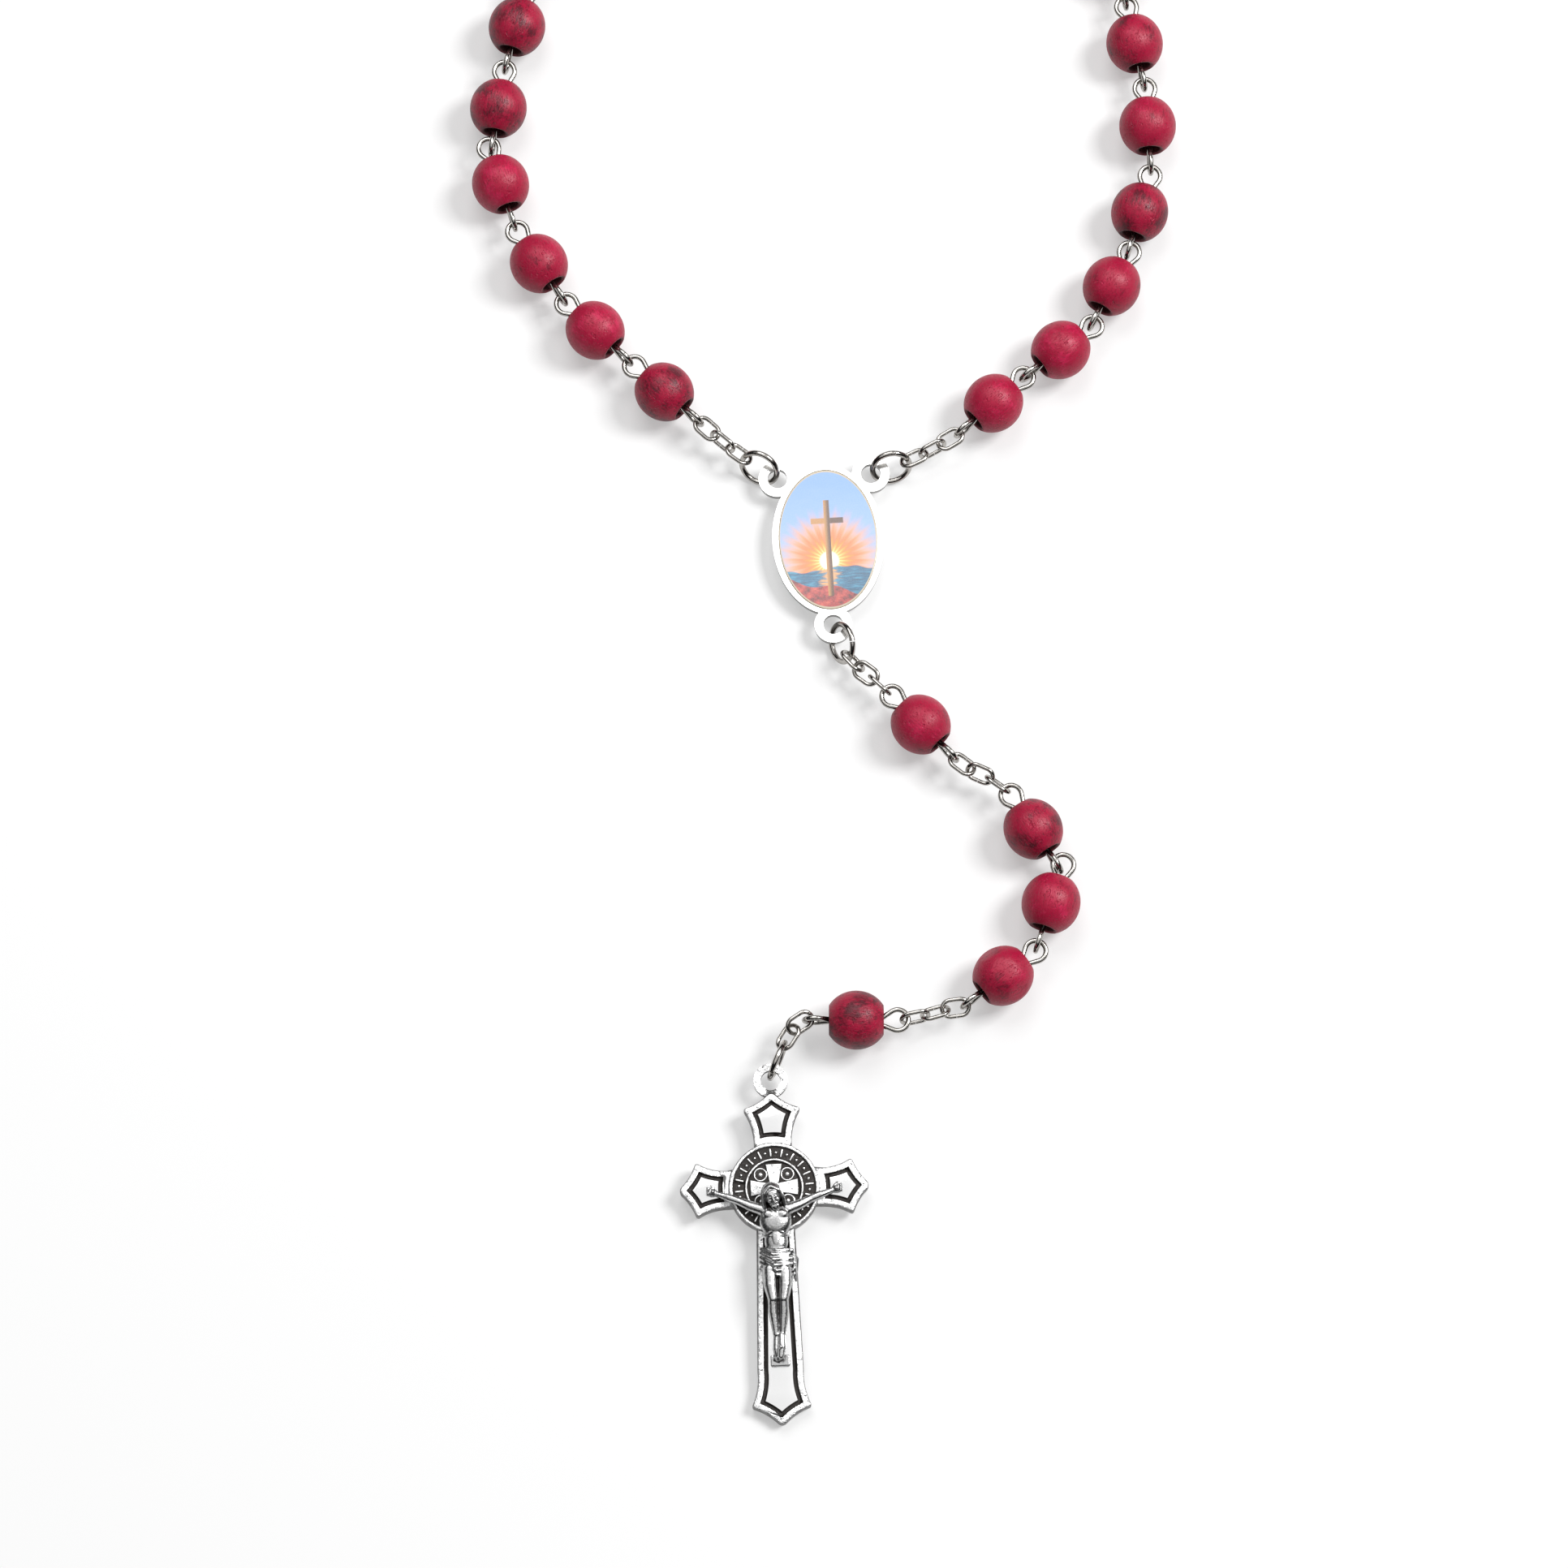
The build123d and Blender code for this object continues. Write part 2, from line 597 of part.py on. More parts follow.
with BuildPart() as cross:
    with BuildSketch():
        Circle(BOSS_RADIUS)
        for turn, outline in ARMS:
            add(rounded(outline), rotation=turn)
    extrude(amount=CROSS_THICKNESS)
    with BuildSketch(Plane.XY.offset((CROSS_THICKNESS - BAIL_THICKNESS) / 2)):
        with Locations((0, BAIL_UP)):
            Circle(BAIL_RADIUS)
    extrude(amount=BAIL_THICKNESS)
    with BuildSketch():
        with Locations((0, BAIL_UP)):
            Circle(BAIL_HOLE_RADIUS)
    extrude(amount=CROSS_THICKNESS, mode=Mode.SUBTRACT)
    # the boss stands proud, with a sunk band and a sunk middle that holds a small cross
    with BuildSketch(Plane.XY.offset(CROSS_THICKNESS)):
        Circle(BOSS_RADIUS)
    extrude(amount=BOSS_RISE)
    with BuildSketch(Plane.XY.offset(CROSS_THICKNESS + BOSS_RISE)):
        Circle(BOSS_RADIUS - BOSS_RIM)
        Circle(BAND_INNER, mode=Mode.SUBTRACT)
        Circle(BAND_INNER - CENTRE_RIM)
        for turn in range(0, 360, 90):
            add(emblem_arm.sketch, rotation=turn, mode=Mode.SUBTRACT)
    extrude(amount=-BAND_DEPTH, mode=Mode.SUBTRACT)
    # a sunk line follows the outline of each arm
    with BuildSketch(Plane.XY.offset(CROSS_THICKNESS)):
        for turn, outline in ARMS:
            with BuildSketch(mode=Mode.PRIVATE) as field:
                add(outline)
                Circle(BOSS_RADIUS, mode=Mode.SUBTRACT)
            add(offset(field.sketch, -GROOVE_INSET, mode=Mode.PRIVATE), rotation=turn)
            add(offset(field.sketch, -GROOVE_INSET - GROOVE_WIDTH, mode=Mode.PRIVATE),
                rotation=turn, mode=Mode.SUBTRACT)
    extrude(amount=-GROOVE_DEPTH, mode=Mode.SUBTRACT)

with BuildPart() as crucifix_cross:
    add(cross.part.moved(cross_plane.location))
nodes["crucifix_cross"] = crucifix_cross

# ---------------------------------------------------------------- figure


def limb(points, radii):
    """Tapering rods from point to point, with a rounder joint at each."""
    with BuildPart() as rods:
        for (start, end), (thick, thin) in zip(zip(points, points[1:]), zip(radii, radii[1:])):
            along = Vector(*end) - Vector(*start)
            middle = (Vector(*end) + Vector(*start)) / 2
            with Locations(Plane(middle, z_dir=along)):
                Cone(thick, thin, along.length)
        for point, radius in zip(points, radii):
            with Locations(point):
                Sphere(radius * JOINT_BULGE)
    return rods.part


def stack(sections):
    """A loft up the figure through ellipses of a given height, half width and thickness."""
    with BuildPart() as trunk:
        for height, half_width, thickness in sections:
            with BuildSketch(Plane.XZ.offset(-height)):
                Ellipse(half_width, thickness)
        loft()
    return trunk.part


# the head, an egg about Y
with BuildPart() as egg:
    with BuildSketch():
        Ellipse(HEAD_SIZE[0] / 2, HEAD_SIZE[1] / 2)
        with Locations((-HEAD_SIZE[0] / 2, 0)):
            Rectangle(HEAD_SIZE[0], HEAD_SIZE[1], mode=Mode.SUBTRACT)
    revolve(axis=Axis.Y)

with BuildPart() as figure:
    add(stack(TORSO))
    add(stack(CLOTH))
    add(limb((SHOULDER, ELBOW, HAND), (SHOULDER_THICK, ELBOW_THICK, WRIST_THICK)))
    with Locations(HAND):
        Sphere(HAND_RADIUS)
    add(limb((HIP, KNEE, ANKLE, TOES), (THIGH_THICK, KNEE_THICK, ANKLE_THICK, FOOT_THICK)))
    with BuildSketch():
        with Locations(FOOTREST_PLACE):
            Rectangle(FOOTREST_SIZE[0], FOOTREST_SIZE[1])
    extrude(amount=FOOTREST_SIZE[2])
    split(bisect_by=Plane.XY, keep=Keep.TOP)
    split(bisect_by=Plane.YZ, keep=Keep.TOP)
    # hollowed behind to sit over the boss, so that its hands and feet touch the arms
    with BuildSketch():
        Circle(BOSS_RADIUS)
    extrude(amount=BOSS_RISE, mode=Mode.SUBTRACT)
    mirror(about=Plane.YZ)
    add(egg.part.moved(Location(HEAD_PLACE)))

with BuildPart() as crucifix_figure:
    add(figure.part.moved(cross_plane.offset(CROSS_THICKNESS).location))
nodes["crucifix_figure"] = crucifix_figure

# ---------------------------------------------------------------- origin and export

boxes = [node.part.bounding_box() for node in nodes.values()]
middle_x = (min(box.min.X for box in boxes) + max(box.max.X for box in boxes)) / 2
middle_y = (min(box.min.Y for box in boxes) + max(box.max.Y for box in boxes)) / 2
to_origin = Vector(-middle_x, -middle_y, 0)

if __name__ == "__main__":
    os.makedirs("parts", exist_ok=True)
    for node_name, node in nodes.items():
        piece = node.part.moved(Location(to_origin))
        piece.label = node_name
        export_step(piece, f"parts/{node_name}.step")
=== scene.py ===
"""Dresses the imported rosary: turned wooden beads, plated wire, a printed medal and a cast crucifix."""

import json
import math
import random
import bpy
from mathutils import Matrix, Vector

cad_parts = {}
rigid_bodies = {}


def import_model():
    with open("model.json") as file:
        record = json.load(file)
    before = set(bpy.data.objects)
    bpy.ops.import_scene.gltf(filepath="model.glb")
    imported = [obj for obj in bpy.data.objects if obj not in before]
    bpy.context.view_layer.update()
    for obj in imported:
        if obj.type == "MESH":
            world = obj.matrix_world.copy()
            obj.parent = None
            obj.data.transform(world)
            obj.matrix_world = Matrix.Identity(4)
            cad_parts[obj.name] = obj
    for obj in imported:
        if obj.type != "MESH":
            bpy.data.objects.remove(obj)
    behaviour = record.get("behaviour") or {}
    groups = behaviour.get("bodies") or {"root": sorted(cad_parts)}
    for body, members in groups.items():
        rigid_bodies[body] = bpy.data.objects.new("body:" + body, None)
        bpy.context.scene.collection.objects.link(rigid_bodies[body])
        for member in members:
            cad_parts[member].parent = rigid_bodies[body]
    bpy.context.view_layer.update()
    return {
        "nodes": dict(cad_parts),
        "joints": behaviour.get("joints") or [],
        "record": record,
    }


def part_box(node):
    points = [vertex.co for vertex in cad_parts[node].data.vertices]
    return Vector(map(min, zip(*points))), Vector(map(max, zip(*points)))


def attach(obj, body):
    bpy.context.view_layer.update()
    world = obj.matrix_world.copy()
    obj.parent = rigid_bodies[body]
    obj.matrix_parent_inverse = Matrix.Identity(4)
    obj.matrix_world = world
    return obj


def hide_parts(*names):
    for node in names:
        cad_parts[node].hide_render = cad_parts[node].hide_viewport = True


bl_info = {
    "name": "Rosary",
    "version": (1, 0, 0),
    "blender": (4, 5, 0),
    "location": "View3D > Sidebar > Rosary",
    "description": "Makes the beads and the figure of a rosary and finishes its wire, medal and crucifix",
    "category": "Object",
}

import bpy
import numpy as np
from mathutils import Matrix, Vector

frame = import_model()
NODES = frame["nodes"]
BODY_OF = {node: body for body, group in frame["record"]["behaviour"]["bodies"].items() for node in group}
JOINTS = {joint["name"]: joint for joint in frame["joints"]}
MOUNTS = {mount["name"]: mount for mount in frame["record"]["mounts"]}
MM = 0.001

# The crucifix's own sizes, in millimetres from the middle of the boss and up from the back.
FRONT = 1.8               # of the cross
LINE_FLOOR = 1.5          # of the sunk lines
BOSS_FLOOR = 1.75         # of the boss's band and middle
BOSS_EDGE = 6.2           # just past the boss
BOSS_HOLLOW = 5.62        # inside the boss's rim
BAIL_FROM = 12.4          # the bail starts this far up
OUTER_ROUND = 0.26        # of the casting's outer edges
LIP_ROUND = 0.12          # of the edges beside the sunk lines
FIELDS = ((-9.6, 0.3), (9.6, 0.3), (0.3, 9.6), (0.3, -25.0))
MARKS = 40                # round the boss's band
MARK_REACH = 4.77
DOT_REACH = 2.56
ORNAMENT_RISE = 0.05      # of an ornament's middle over the floor it stands on

# A turned bead, in millimetres.
MOUTH_ROUND = 0.35
FLAT_DEPTH = 0.28         # how far a flat lies inside the full round
FLATS = 6


# ---------------------------------------------------------------- finishes


class Signal:
    """A value that changes over a surface. Python's own operators add the nodes."""

    def __init__(self, finish, socket):
        self.finish = finish
        self.socket = socket

    def math(self, operation, *others):
        return self.finish.node("ShaderNodeMath", {"operation": operation}, dict(enumerate((self, *others))))

    def __add__(self, other):
        return self.math("ADD", other)

    __radd__ = __add__

    def __mul__(self, other):
        return self.math("MULTIPLY", other)

    __rmul__ = __mul__

    def __sub__(self, other):
        return self.math("SUBTRACT", other)

    def __rsub__(self, other):
        return self.finish.node("ShaderNodeMath", {"operation": "SUBTRACT"}, {0: other, 1: self})

    def __truediv__(self, other):
        return self.math("DIVIDE", other)

    def __pow__(self, other):
        return self.math("POWER", other)

    def __abs__(self):
        return self.math("ABSOLUTE")

    def sine(self):
        return self.math("SINE")

    def root(self):
        return self.math("SQRT")

    def most(self, other):
        return self.math("MAXIMUM", other)

    def step(self, low, high):
        """0 below low and 1 above high, and smooth between them. High may be the lower one."""
        return self.finish.node(
            "ShaderNodeMapRange",
            {"interpolation_type": "SMOOTHSTEP"},
            {"Value": self, "From Min": low, "From Max": high},
        )


class Finish:
    """A material and the few ways in which its nodes are made."""

    def __init__(self, name, **sockets):
        """Sockets of the shader that hold one number or colour each."""
        self.material = bpy.data.materials.new(name)
        self.material.use_nodes = True
        self.tree = self.material.node_tree
        self.shader = self.tree.nodes["Principled BSDF"]
        for socket, value in sockets.items():
            self.shader.inputs[socket.replace("_", " ")].default_value = value

    def node(self, kind, settings=None, inputs=None, output=0):
        made = self.tree.nodes.new(kind)
        for key, value in (settings or {}).items():
            if key == "stops":
                ramp = made.color_ramp
                while len(ramp.elements) < len(value):
                    ramp.elements.new(0.5)
                for element, (place, colour) in zip(ramp.elements, value):
                    element.position = place
                    element.color = (*colour, 1)
            else:
                setattr(made, key, value)
        for key, value in (inputs or {}).items():
            self.feed(made.inputs[key], value)
        return Signal(self, made.outputs[output])

    def feed(self, socket, value):
        if isinstance(value, Signal):
            self.tree.links.new(value.socket, socket)
        else:
            socket.default_value = value

    def set(self, socket, value):
        self.feed(self.shader.inputs[socket], value)

    def place(self, centre=(0, 0, 0), turn=(0, 0, 0)):
        """Object coordinates in millimetres from a centre, turned with a piece."""
        point = self.node("ShaderNodeTexCoord", output="Object")
        return self.node(
            "ShaderNodeMapping",
            {"vector_type": "TEXTURE"},
            {"Vector": point, "Location": centre, "Rotation": turn, "Scale": (MM, MM, MM)},
        )

    def attribute(self, name, output):
        return self.node("ShaderNodeAttribute", {"attribute_name": name}, output=output)

    def turned_off(self, front):
        """0 on faces that lie flat to the front and 1 on faces square to it."""
        normal = self.node("ShaderNodeTexCoord", output="Normal")
        facing = self.node(
            "ShaderNodeVectorMath", {"operation": "DOT_PRODUCT"}, {0: normal, 1: front}, output="Value"
        )
        return abs(facing).step(0.93, 0.45)

    def stretched(self, point, scale):
        return self.node("ShaderNodeVectorMath", {"operation": "MULTIPLY"}, {0: point, 1: scale})

    def noise(self, point, scale, detail=3.0, roughness=0.55):
        return self.node(
            "ShaderNodeTexNoise",
            inputs={"Vector": point, "Scale": scale, "Detail": detail, "Roughness": roughness},
        )

    def parts(self, point):
        """The three numbers of a place."""
        split = self.node("ShaderNodeSeparateXYZ", inputs={0: point}).socket.node
        return [Signal(self, socket) for socket in split.outputs]

    def ramp(self, factor, stops):
        return self.node("ShaderNodeValToRGB", {"stops": stops}, {0: factor})

    def blend(self, factor, first, second):
        """One colour over another."""
        made = self.tree.nodes.new("ShaderNodeMix")
        made.data_type = "RGBA"
        self.feed(made.inputs[0], factor)
        for socket, value in ((made.inputs[6], first), (made.inputs[7], second)):
            self.feed(socket, value if isinstance(value, Signal) else (*value, 1))
        return Signal(self, made.outputs[2])

    def bump(self, height, distance, strength=1.0):
        bumped = self.node(
            "ShaderNodeBump", inputs={"Height": height, "Distance": distance, "Strength": strength}
        )
        self.set("Normal", bumped)

    def onto(self, piece):
        """Put this finish on a piece."""
        if not piece.material_slots:
            piece.data.materials.append(self.material)
        for slot in piece.material_slots:
            slot.material = self.material


# ---------------------------------------------------------------- modelling by hand


def deselect():
    if bpy.context.object and bpy.context.object.mode != "OBJECT":
        bpy.ops.object.mode_set(mode="OBJECT")
    bpy.ops.object.select_all(action="DESELECT")


def choose(*pieces):
    """Select these pieces alone and make the first one active."""
    deselect()
    for piece in pieces:
        piece.select_set(True)
    bpy.context.view_layer.objects.active = pieces[0]


def joined(pieces, name):
    choose(*pieces)
    if len(pieces) > 1:
        bpy.ops.object.join()
    whole = bpy.context.object
    whole.name = name
    whole.data.name = name
    return whole


def settle(piece):
    """Move a piece's place, turn and size into its mesh."""
    choose(piece)
    bpy.ops.object.transform_apply(location=True, rotation=True, scale=True)


def into_place(piece, matrix):
    """Move a piece modelled in millimetres about the origin to where it belongs."""
    piece.data.transform(matrix @ Matrix.Scale(MM, 4))
    piece.data.update()


def dress(piece, finish, body, slot, *nodes):
    finish.onto(piece)
    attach(piece, body)
    if nodes:
        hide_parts(*nodes)


def cross_matrix():
    """The crucifix's own frame: x across, y towards the bail, z out of the front, at the boss's back."""
    back = Vector(MOUNTS["crucifix_back"]["pos_m"])
    out = -Vector(MOUNTS["crucifix_back"]["axis"]).normalized()
    bail = Vector(JOINTS["crucifix_turn"]["pos_m"]) - back
    up = (bail - out * bail.dot(out)).normalized()
    across = up.cross(out)
    turn = Matrix((across, up, out)).transposed().to_4x4()
    return Matrix.Translation(back) @ turn


def medal_matrix():
    """The medal's own frame, at the middle of the picture's top."""
    low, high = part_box("medal_picture")
    across = Vector(JOINTS["right_ring_lift"]["pos_m"]) - Vector(JOINTS["left_ring_lift"]["pos_m"])
    across.normalize()
    out = Vector((0, 0, 1))
    turn = Matrix((across, out.cross(across), out)).transposed().to_4x4()
    middle = (low + high) / 2
    return Matrix.Translation((middle.x, middle.y, high.z)) @ turn


# ---------------------------------------------------------------- settings


class BeadSettings(bpy.types.PropertyGroup):
    diameter: bpy.props.FloatProperty(
        name="Diameter", description="Of a bead across its bore, in mm", default=8.0, min=4, max=14
    )
    length: bpy.props.FloatProperty(
        name="Length", description="Along the bore, in mm", default=7.4, min=3, max=14
    )
    mouth: bpy.props.FloatProperty(
        name="Mouth", description="Flat at each end of the bore, across, in mm", default=4.0, min=1, max=6
    )
    bore: bpy.props.FloatProperty(
        name="Bore", description="Across the hole, in mm", default=3.0, min=0.5, max=5
    )
    stain: bpy.props.FloatVectorProperty(
        name="Stain", description="Colour of the stained wood", subtype="COLOR", default=(0.36, 0.002, 0.034)
    )
    deep_stain: bpy.props.FloatVectorProperty(
        name="Deep stain", description="Where the wood drinks more stain", subtype="COLOR",
        default=(0.095, 0.001, 0.011),
    )
    light_stain: bpy.props.FloatVectorProperty(
        name="Light stain", description="On the hard bands of the grain", subtype="COLOR",
        default=(0.58, 0.014, 0.080),
    )


class WireSettings(bpy.types.PropertyGroup):
    plating: bpy.props.FloatVectorProperty(
        name="Plating", description="Colour of the nickel plating", subtype="COLOR",
        default=(0.46, 0.44, 0.415),
    )
    gloss: bpy.props.FloatProperty(
        name="Roughness", description="Of the plating", default=0.17, min=0.02, max=1, subtype="FACTOR"
    )


class MedalSettings(bpy.types.PropertyGroup):
    plate: bpy.props.FloatVectorProperty(
        name="Plate", description="Colour of the polished plate", subtype="COLOR", default=(0.90, 0.90, 0.89)
    )
    sky: bpy.props.FloatVectorProperty(
        name="Sky", description="Blue of the print", subtype="COLOR", default=(0.20, 0.37, 0.72)
    )
    glow: bpy.props.FloatVectorProperty(
        name="Glow", description="Red-orange of the print", subtype="COLOR", default=(0.88, 0.13, 0.03)
    )
    teal: bpy.props.FloatVectorProperty(
        name="Teal", description="Blue-green of the print", subtype="COLOR", default=(0.012, 0.13, 0.25)
    )


class CrucifixSettings(bpy.types.PropertyGroup):
    bright: bpy.props.FloatVectorProperty(
        name="Bright", description="Colour of the polished casting", subtype="COLOR",
        default=(0.86, 0.86, 0.86),
    )
    # The dark colour also serves as the painted shade on the cross's side walls.
    dark: bpy.props.FloatVectorProperty(
        name="Dark", description="Colour of the antiquing left in the hollows", subtype="COLOR",
        default=(0.018, 0.014, 0.012),
    )
    voxel: bpy.props.FloatProperty(
        name="Fineness", description="Size of the figure's finest form, in mm",
        default=0.085, min=0.04, max=0.5,
    )


class StageSettings(bpy.types.PropertyGroup):
    elevation: bpy.props.FloatProperty(
        name="Elevation", description="Of the camera above the table", subtype="ANGLE",
        default=math.radians(74.9),
    )
    lens: bpy.props.FloatProperty(name="Lens", description="Focal length in mm", default=135, min=20, max=400)
    field: bpy.props.FloatProperty(
        name="Field", description="Width of the view at the medal, in mm", default=214.7, min=20, max=900
    )
    aim: bpy.props.FloatVectorProperty(
        name="Aim", description="Middle of the view from the middle of the medal, in mm", size=2,
        default=(-6.1, -35.1),
    )


# ---------------------------------------------------------------- finishes of this object


def stained_wood(beads):
    wood = Finish("stained_wood", Specular_IOR_Level=0.38)
    grain = wood.attribute("grain", "Vector")
    tone = wood.attribute("tone", "Fac")
    rim = wood.attribute("rim", "Fac")
    clouds = wood.noise(grain, 0.30, 4.0, 0.6)
    streaks = wood.noise(wood.stretched(grain, (0.55, 3.4, 3.4)), 1.0, 5.0, 0.75)
    pores = wood.noise(wood.stretched(grain, (2.2, 10.0, 10.0)), 1.0, 3.0, 0.6).step(0.56, 0.68)
    dents = wood.noise(grain, 1.15, 1.0).step(0.68, 0.74)
    depth = clouds * 0.55 + streaks * 0.45 + (tone - 0.5) * 0.14
    colour = wood.ramp(
        depth, [(0.36, beads.deep_stain), (0.48, beads.stain), (0.56, beads.stain), (0.72, beads.light_stain)]
    )
    colour = wood.blend(pores * 0.5, colour, beads.deep_stain)
    # Painted shade: the bore and the mouth's rounded edge are blended towards nearly black.
    colour = wood.blend(rim * 0.9, colour, (0.030, 0.005, 0.005))
    wood.set("Base Color", colour)
    wood.set("Roughness", streaks * 0.26 + 0.26 + pores * 0.16 + rim * 0.25)
    wood.bump(streaks * 0.7 + clouds * 0.6 - pores * 0.45 - dents * 0.9, 0.07 * MM)
    return wood


def plated_wire(wires):
    wire = Finish("plated_wire", Metallic=1.0)
    point = wire.place()
    dulled = wire.noise(point, 1.4, 3.0)
    dull = [c * 0.72 for c in wires.plating]
    wire.set("Base Color", wire.blend(dulled.step(0.35, 0.75), wires.plating, dull))
    wire.set("Roughness", wire.noise(point, 3.0, 4.0, 0.7) * 0.16 + (wires.gloss - 0.08))
    wire.bump(wire.noise(point, 6.0, 2.0), 0.012 * MM)
    return wire


def polished_plate(medal):
    plate = Finish("polished_plate", Metallic=1.0)
    point = plate.place()
    lines = plate.noise(plate.stretched(point, (0.6, 14.0, 1.0)), 1.0, 3.0, 0.7)
    smears = plate.noise(point, 0.5, 3.0)
    bright = plate.blend(smears.step(0.4, 0.8) * 0.35, medal.plate, [c * 0.8 for c in medal.plate])
    # Painted dark reflection: the frame's side faces, square to the front, are blended towards dark grey.
    plate.set("Base Color", plate.blend(plate.turned_off((0, 0, 1)) * 0.8, bright, (0.12, 0.115, 0.11)))
    plate.set("Roughness", lines * 0.10 + smears * 0.10 + 0.08)
    plate.bump(lines, 0.004 * MM)
    return plate


def printed_picture(medal):
    """A cross on a headland at sunrise over the sea, printed and sealed under clear resin."""
    paint = Finish("printed_picture", Coat_Weight=0.9, Coat_Roughness=0.06, Specular_IOR_Level=0.5)
    own = medal_matrix()
    point = paint.place(own.translation, own.to_euler())
    x, y, _ = paint.parts(point)
    sun_y = y + 3.1
    away = (x * x + sun_y * sun_y).root()
    turn = sun_y.math("ARCTAN2", x)
    rays = (turn * 26.0).sine() * 0.5 + 0.5
    fine_rays = (turn * 61.0 + 0.7).sine() * 0.5 + 0.5
    spread = away + rays * 0.9 + fine_rays * 0.35
    cloud = paint.noise(paint.stretched(point, (0.25, 0.8, 1.0)), 1.0, 4.0, 0.6)
    sky = paint.ramp((y / 20.0 + 0.5) + (cloud - 0.5) * 0.22, [
        (0.30, (0.42, 0.50, 0.70)), (0.62, (0.27, 0.43, 0.74)), (0.92, medal.sky),
    ])
    colour = paint.blend(spread.step(8.6, 4.4), sky, (0.85, 0.36, 0.16))
    colour = paint.blend(spread.step(6.2, 2.9), colour, medal.glow)
    colour = paint.blend(spread.step(4.6, 1.7), colour, (0.95, 0.42, 0.05))
    colour = paint.blend(spread.step(3.0, 1.0), colour, (1.0, 0.80, 0.32))
    colour = paint.blend(away.step(1.5, 1.2), colour, (1.0, 0.93, 0.70))
    swell = (x * 0.55 + 0.4).sine() * 0.35 + (x * 2.1).sine() * 0.10
    sea = (y + 4.3 - swell).step(0.12, -0.12)
    ripples = paint.noise(paint.stretched(point, (0.5, 3.2, 1.0)), 1.0, 4.0, 0.6)
    deep_water = [c * 0.55 for c in medal.teal]
    water = paint.ramp(ripples, [(0.34, deep_water), (0.52, medal.teal), (0.66, (0.05, 0.30, 0.46))])
    glint = (abs(x) + (ripples - 0.5) * 6.0).step(1.5, 0.3)
    water = paint.blend(glint * 0.75, water, (0.95, 0.45, 0.14))
    colour = paint.blend(sea, colour, water)
    shore = (y + 7.0 + x * 0.22 - (x * 0.9 + 1.0).sine() * 0.4).step(0.1, -0.1)
    earth = paint.ramp(paint.noise(point, 0.9, 5.0, 0.65), [
        (0.35, (0.10, 0.008, 0.012)), (0.52, (0.42, 0.035, 0.035)), (0.70, (0.66, 0.12, 0.07)),
    ])
    colour = paint.blend(shore, colour, earth)
    post = (abs(x) - 0.40).step(0.06, -0.06) * (y - 5.7).step(0.06, -0.06) * (y + 8.2).step(-0.06, 0.06)
    arms = (abs(x) - 2.25).step(0.06, -0.06) * (abs(y - 2.7) - 0.40).step(0.06, -0.06)
    timber = paint.blend((x + 0.1).step(-0.3, 0.35), (0.50, 0.24, 0.07), (0.09, 0.035, 0.015))
    colour = paint.blend(post.most(arms), colour, timber)
    edge = ((x / 6.85) ** 2 + (y / 10.1) ** 2).root()
    colour = paint.blend(edge.step(0.962, 0.972), colour, (0.50, 0.42, 0.30))
    weave = paint.noise(point, 9.0, 2.0)
    colour = paint.blend(weave.step(0.45, 0.75) * 0.10, colour, (0.95, 0.92, 0.90))
    paint.set("Base Color", colour)
    paint.set("Roughness", weave * 0.10 + 0.32)
    return paint


def worn(crucifix, share):
    """The bright colour worn down to a share of itself."""
    return [channel * share for channel in crucifix.bright]


def casting(name):
    """A cast finish and its places, measured in the cross's own frame."""
    cast = Finish(name, Metallic=1.0)
    own = cross_matrix()
    return cast, cast.place(own.translation, own.to_euler())


def cross_front():
    return cross_matrix().to_3x3() @ Vector((0, 0, 1))


def open_to_air(cast, reach):
    """1 on an open surface and less in a hollow or under an edge."""
    return cast.node(
        "ShaderNodeAmbientOcclusion", {"samples": 8, "only_local": True}, {"Distance": reach * MM},
        output="AO",
    )


def cast_rim(crucifix):
    """The sand-rough rims, walls and back of the cross, with antiquing in their pits and hollows, and painted
    shade on the walls that turn away from the front.
    """
    cast, point = casting("cast_rim")
    grit = cast.noise(point, 3.4, 4.0, 0.75)
    sand = cast.noise(point, 1.5, 3.0, 0.6)
    pits = cast.noise(point, 2.3, 3.0, 0.75).step(0.60, 0.68)
    hollow = open_to_air(cast, 0.4).step(0.70, 0.45)
    # Dark is the antiquing in the pits and hollows, and painted shade on every wall square to the front.
    dark = (pits * 0.8).most(hollow).most(cast.turned_off(cross_front()) * 0.72)
    metal = cast.blend(sand.step(0.40, 0.70), worn(crucifix, 0.96), worn(crucifix, 0.62))
    cast.set("Base Color", cast.blend(dark, metal, crucifix.dark))
    cast.set("Roughness", grit * 0.25 + 0.16 + dark * 0.3)
    cast.bump(grit * 0.7 + sand * 0.8 - pits * 0.5, 0.10 * MM)
    return cast


def cast_field(crucifix):
    """The polished fields between the sunk lines."""
    cast, point = casting("cast_field")
    grit = cast.noise(point, 4.2, 4.0, 0.7)
    metal = cast.blend(grit * 0.25, crucifix.bright, worn(crucifix, 0.85))
    cast.set("Base Color", cast.blend(open_to_air(cast, 0.25).step(0.62, 0.42), metal, crucifix.dark))
    cast.set("Roughness", grit * 0.12 + 0.12)
    cast.bump(grit, 0.006 * MM)
    return cast


def antiquing(crucifix):
    """What stays in the sunk lines and in the boss's floor: nearly black, with a few worn grains."""
    cast, point = casting("antiquing")
    cast.shader.inputs["Metallic"].default_value = 0.25
    sand = cast.noise(point, 6.0, 3.0, 0.75)
    glints = sand.step(0.60, 0.72) * 0.35
    cast.set("Base Color", cast.blend(glints, crucifix.dark, worn(crucifix, 0.7)))
    cast.set("Roughness", 0.62 - glints * 0.5)
    cast.bump(sand, 0.03 * MM)
    return cast


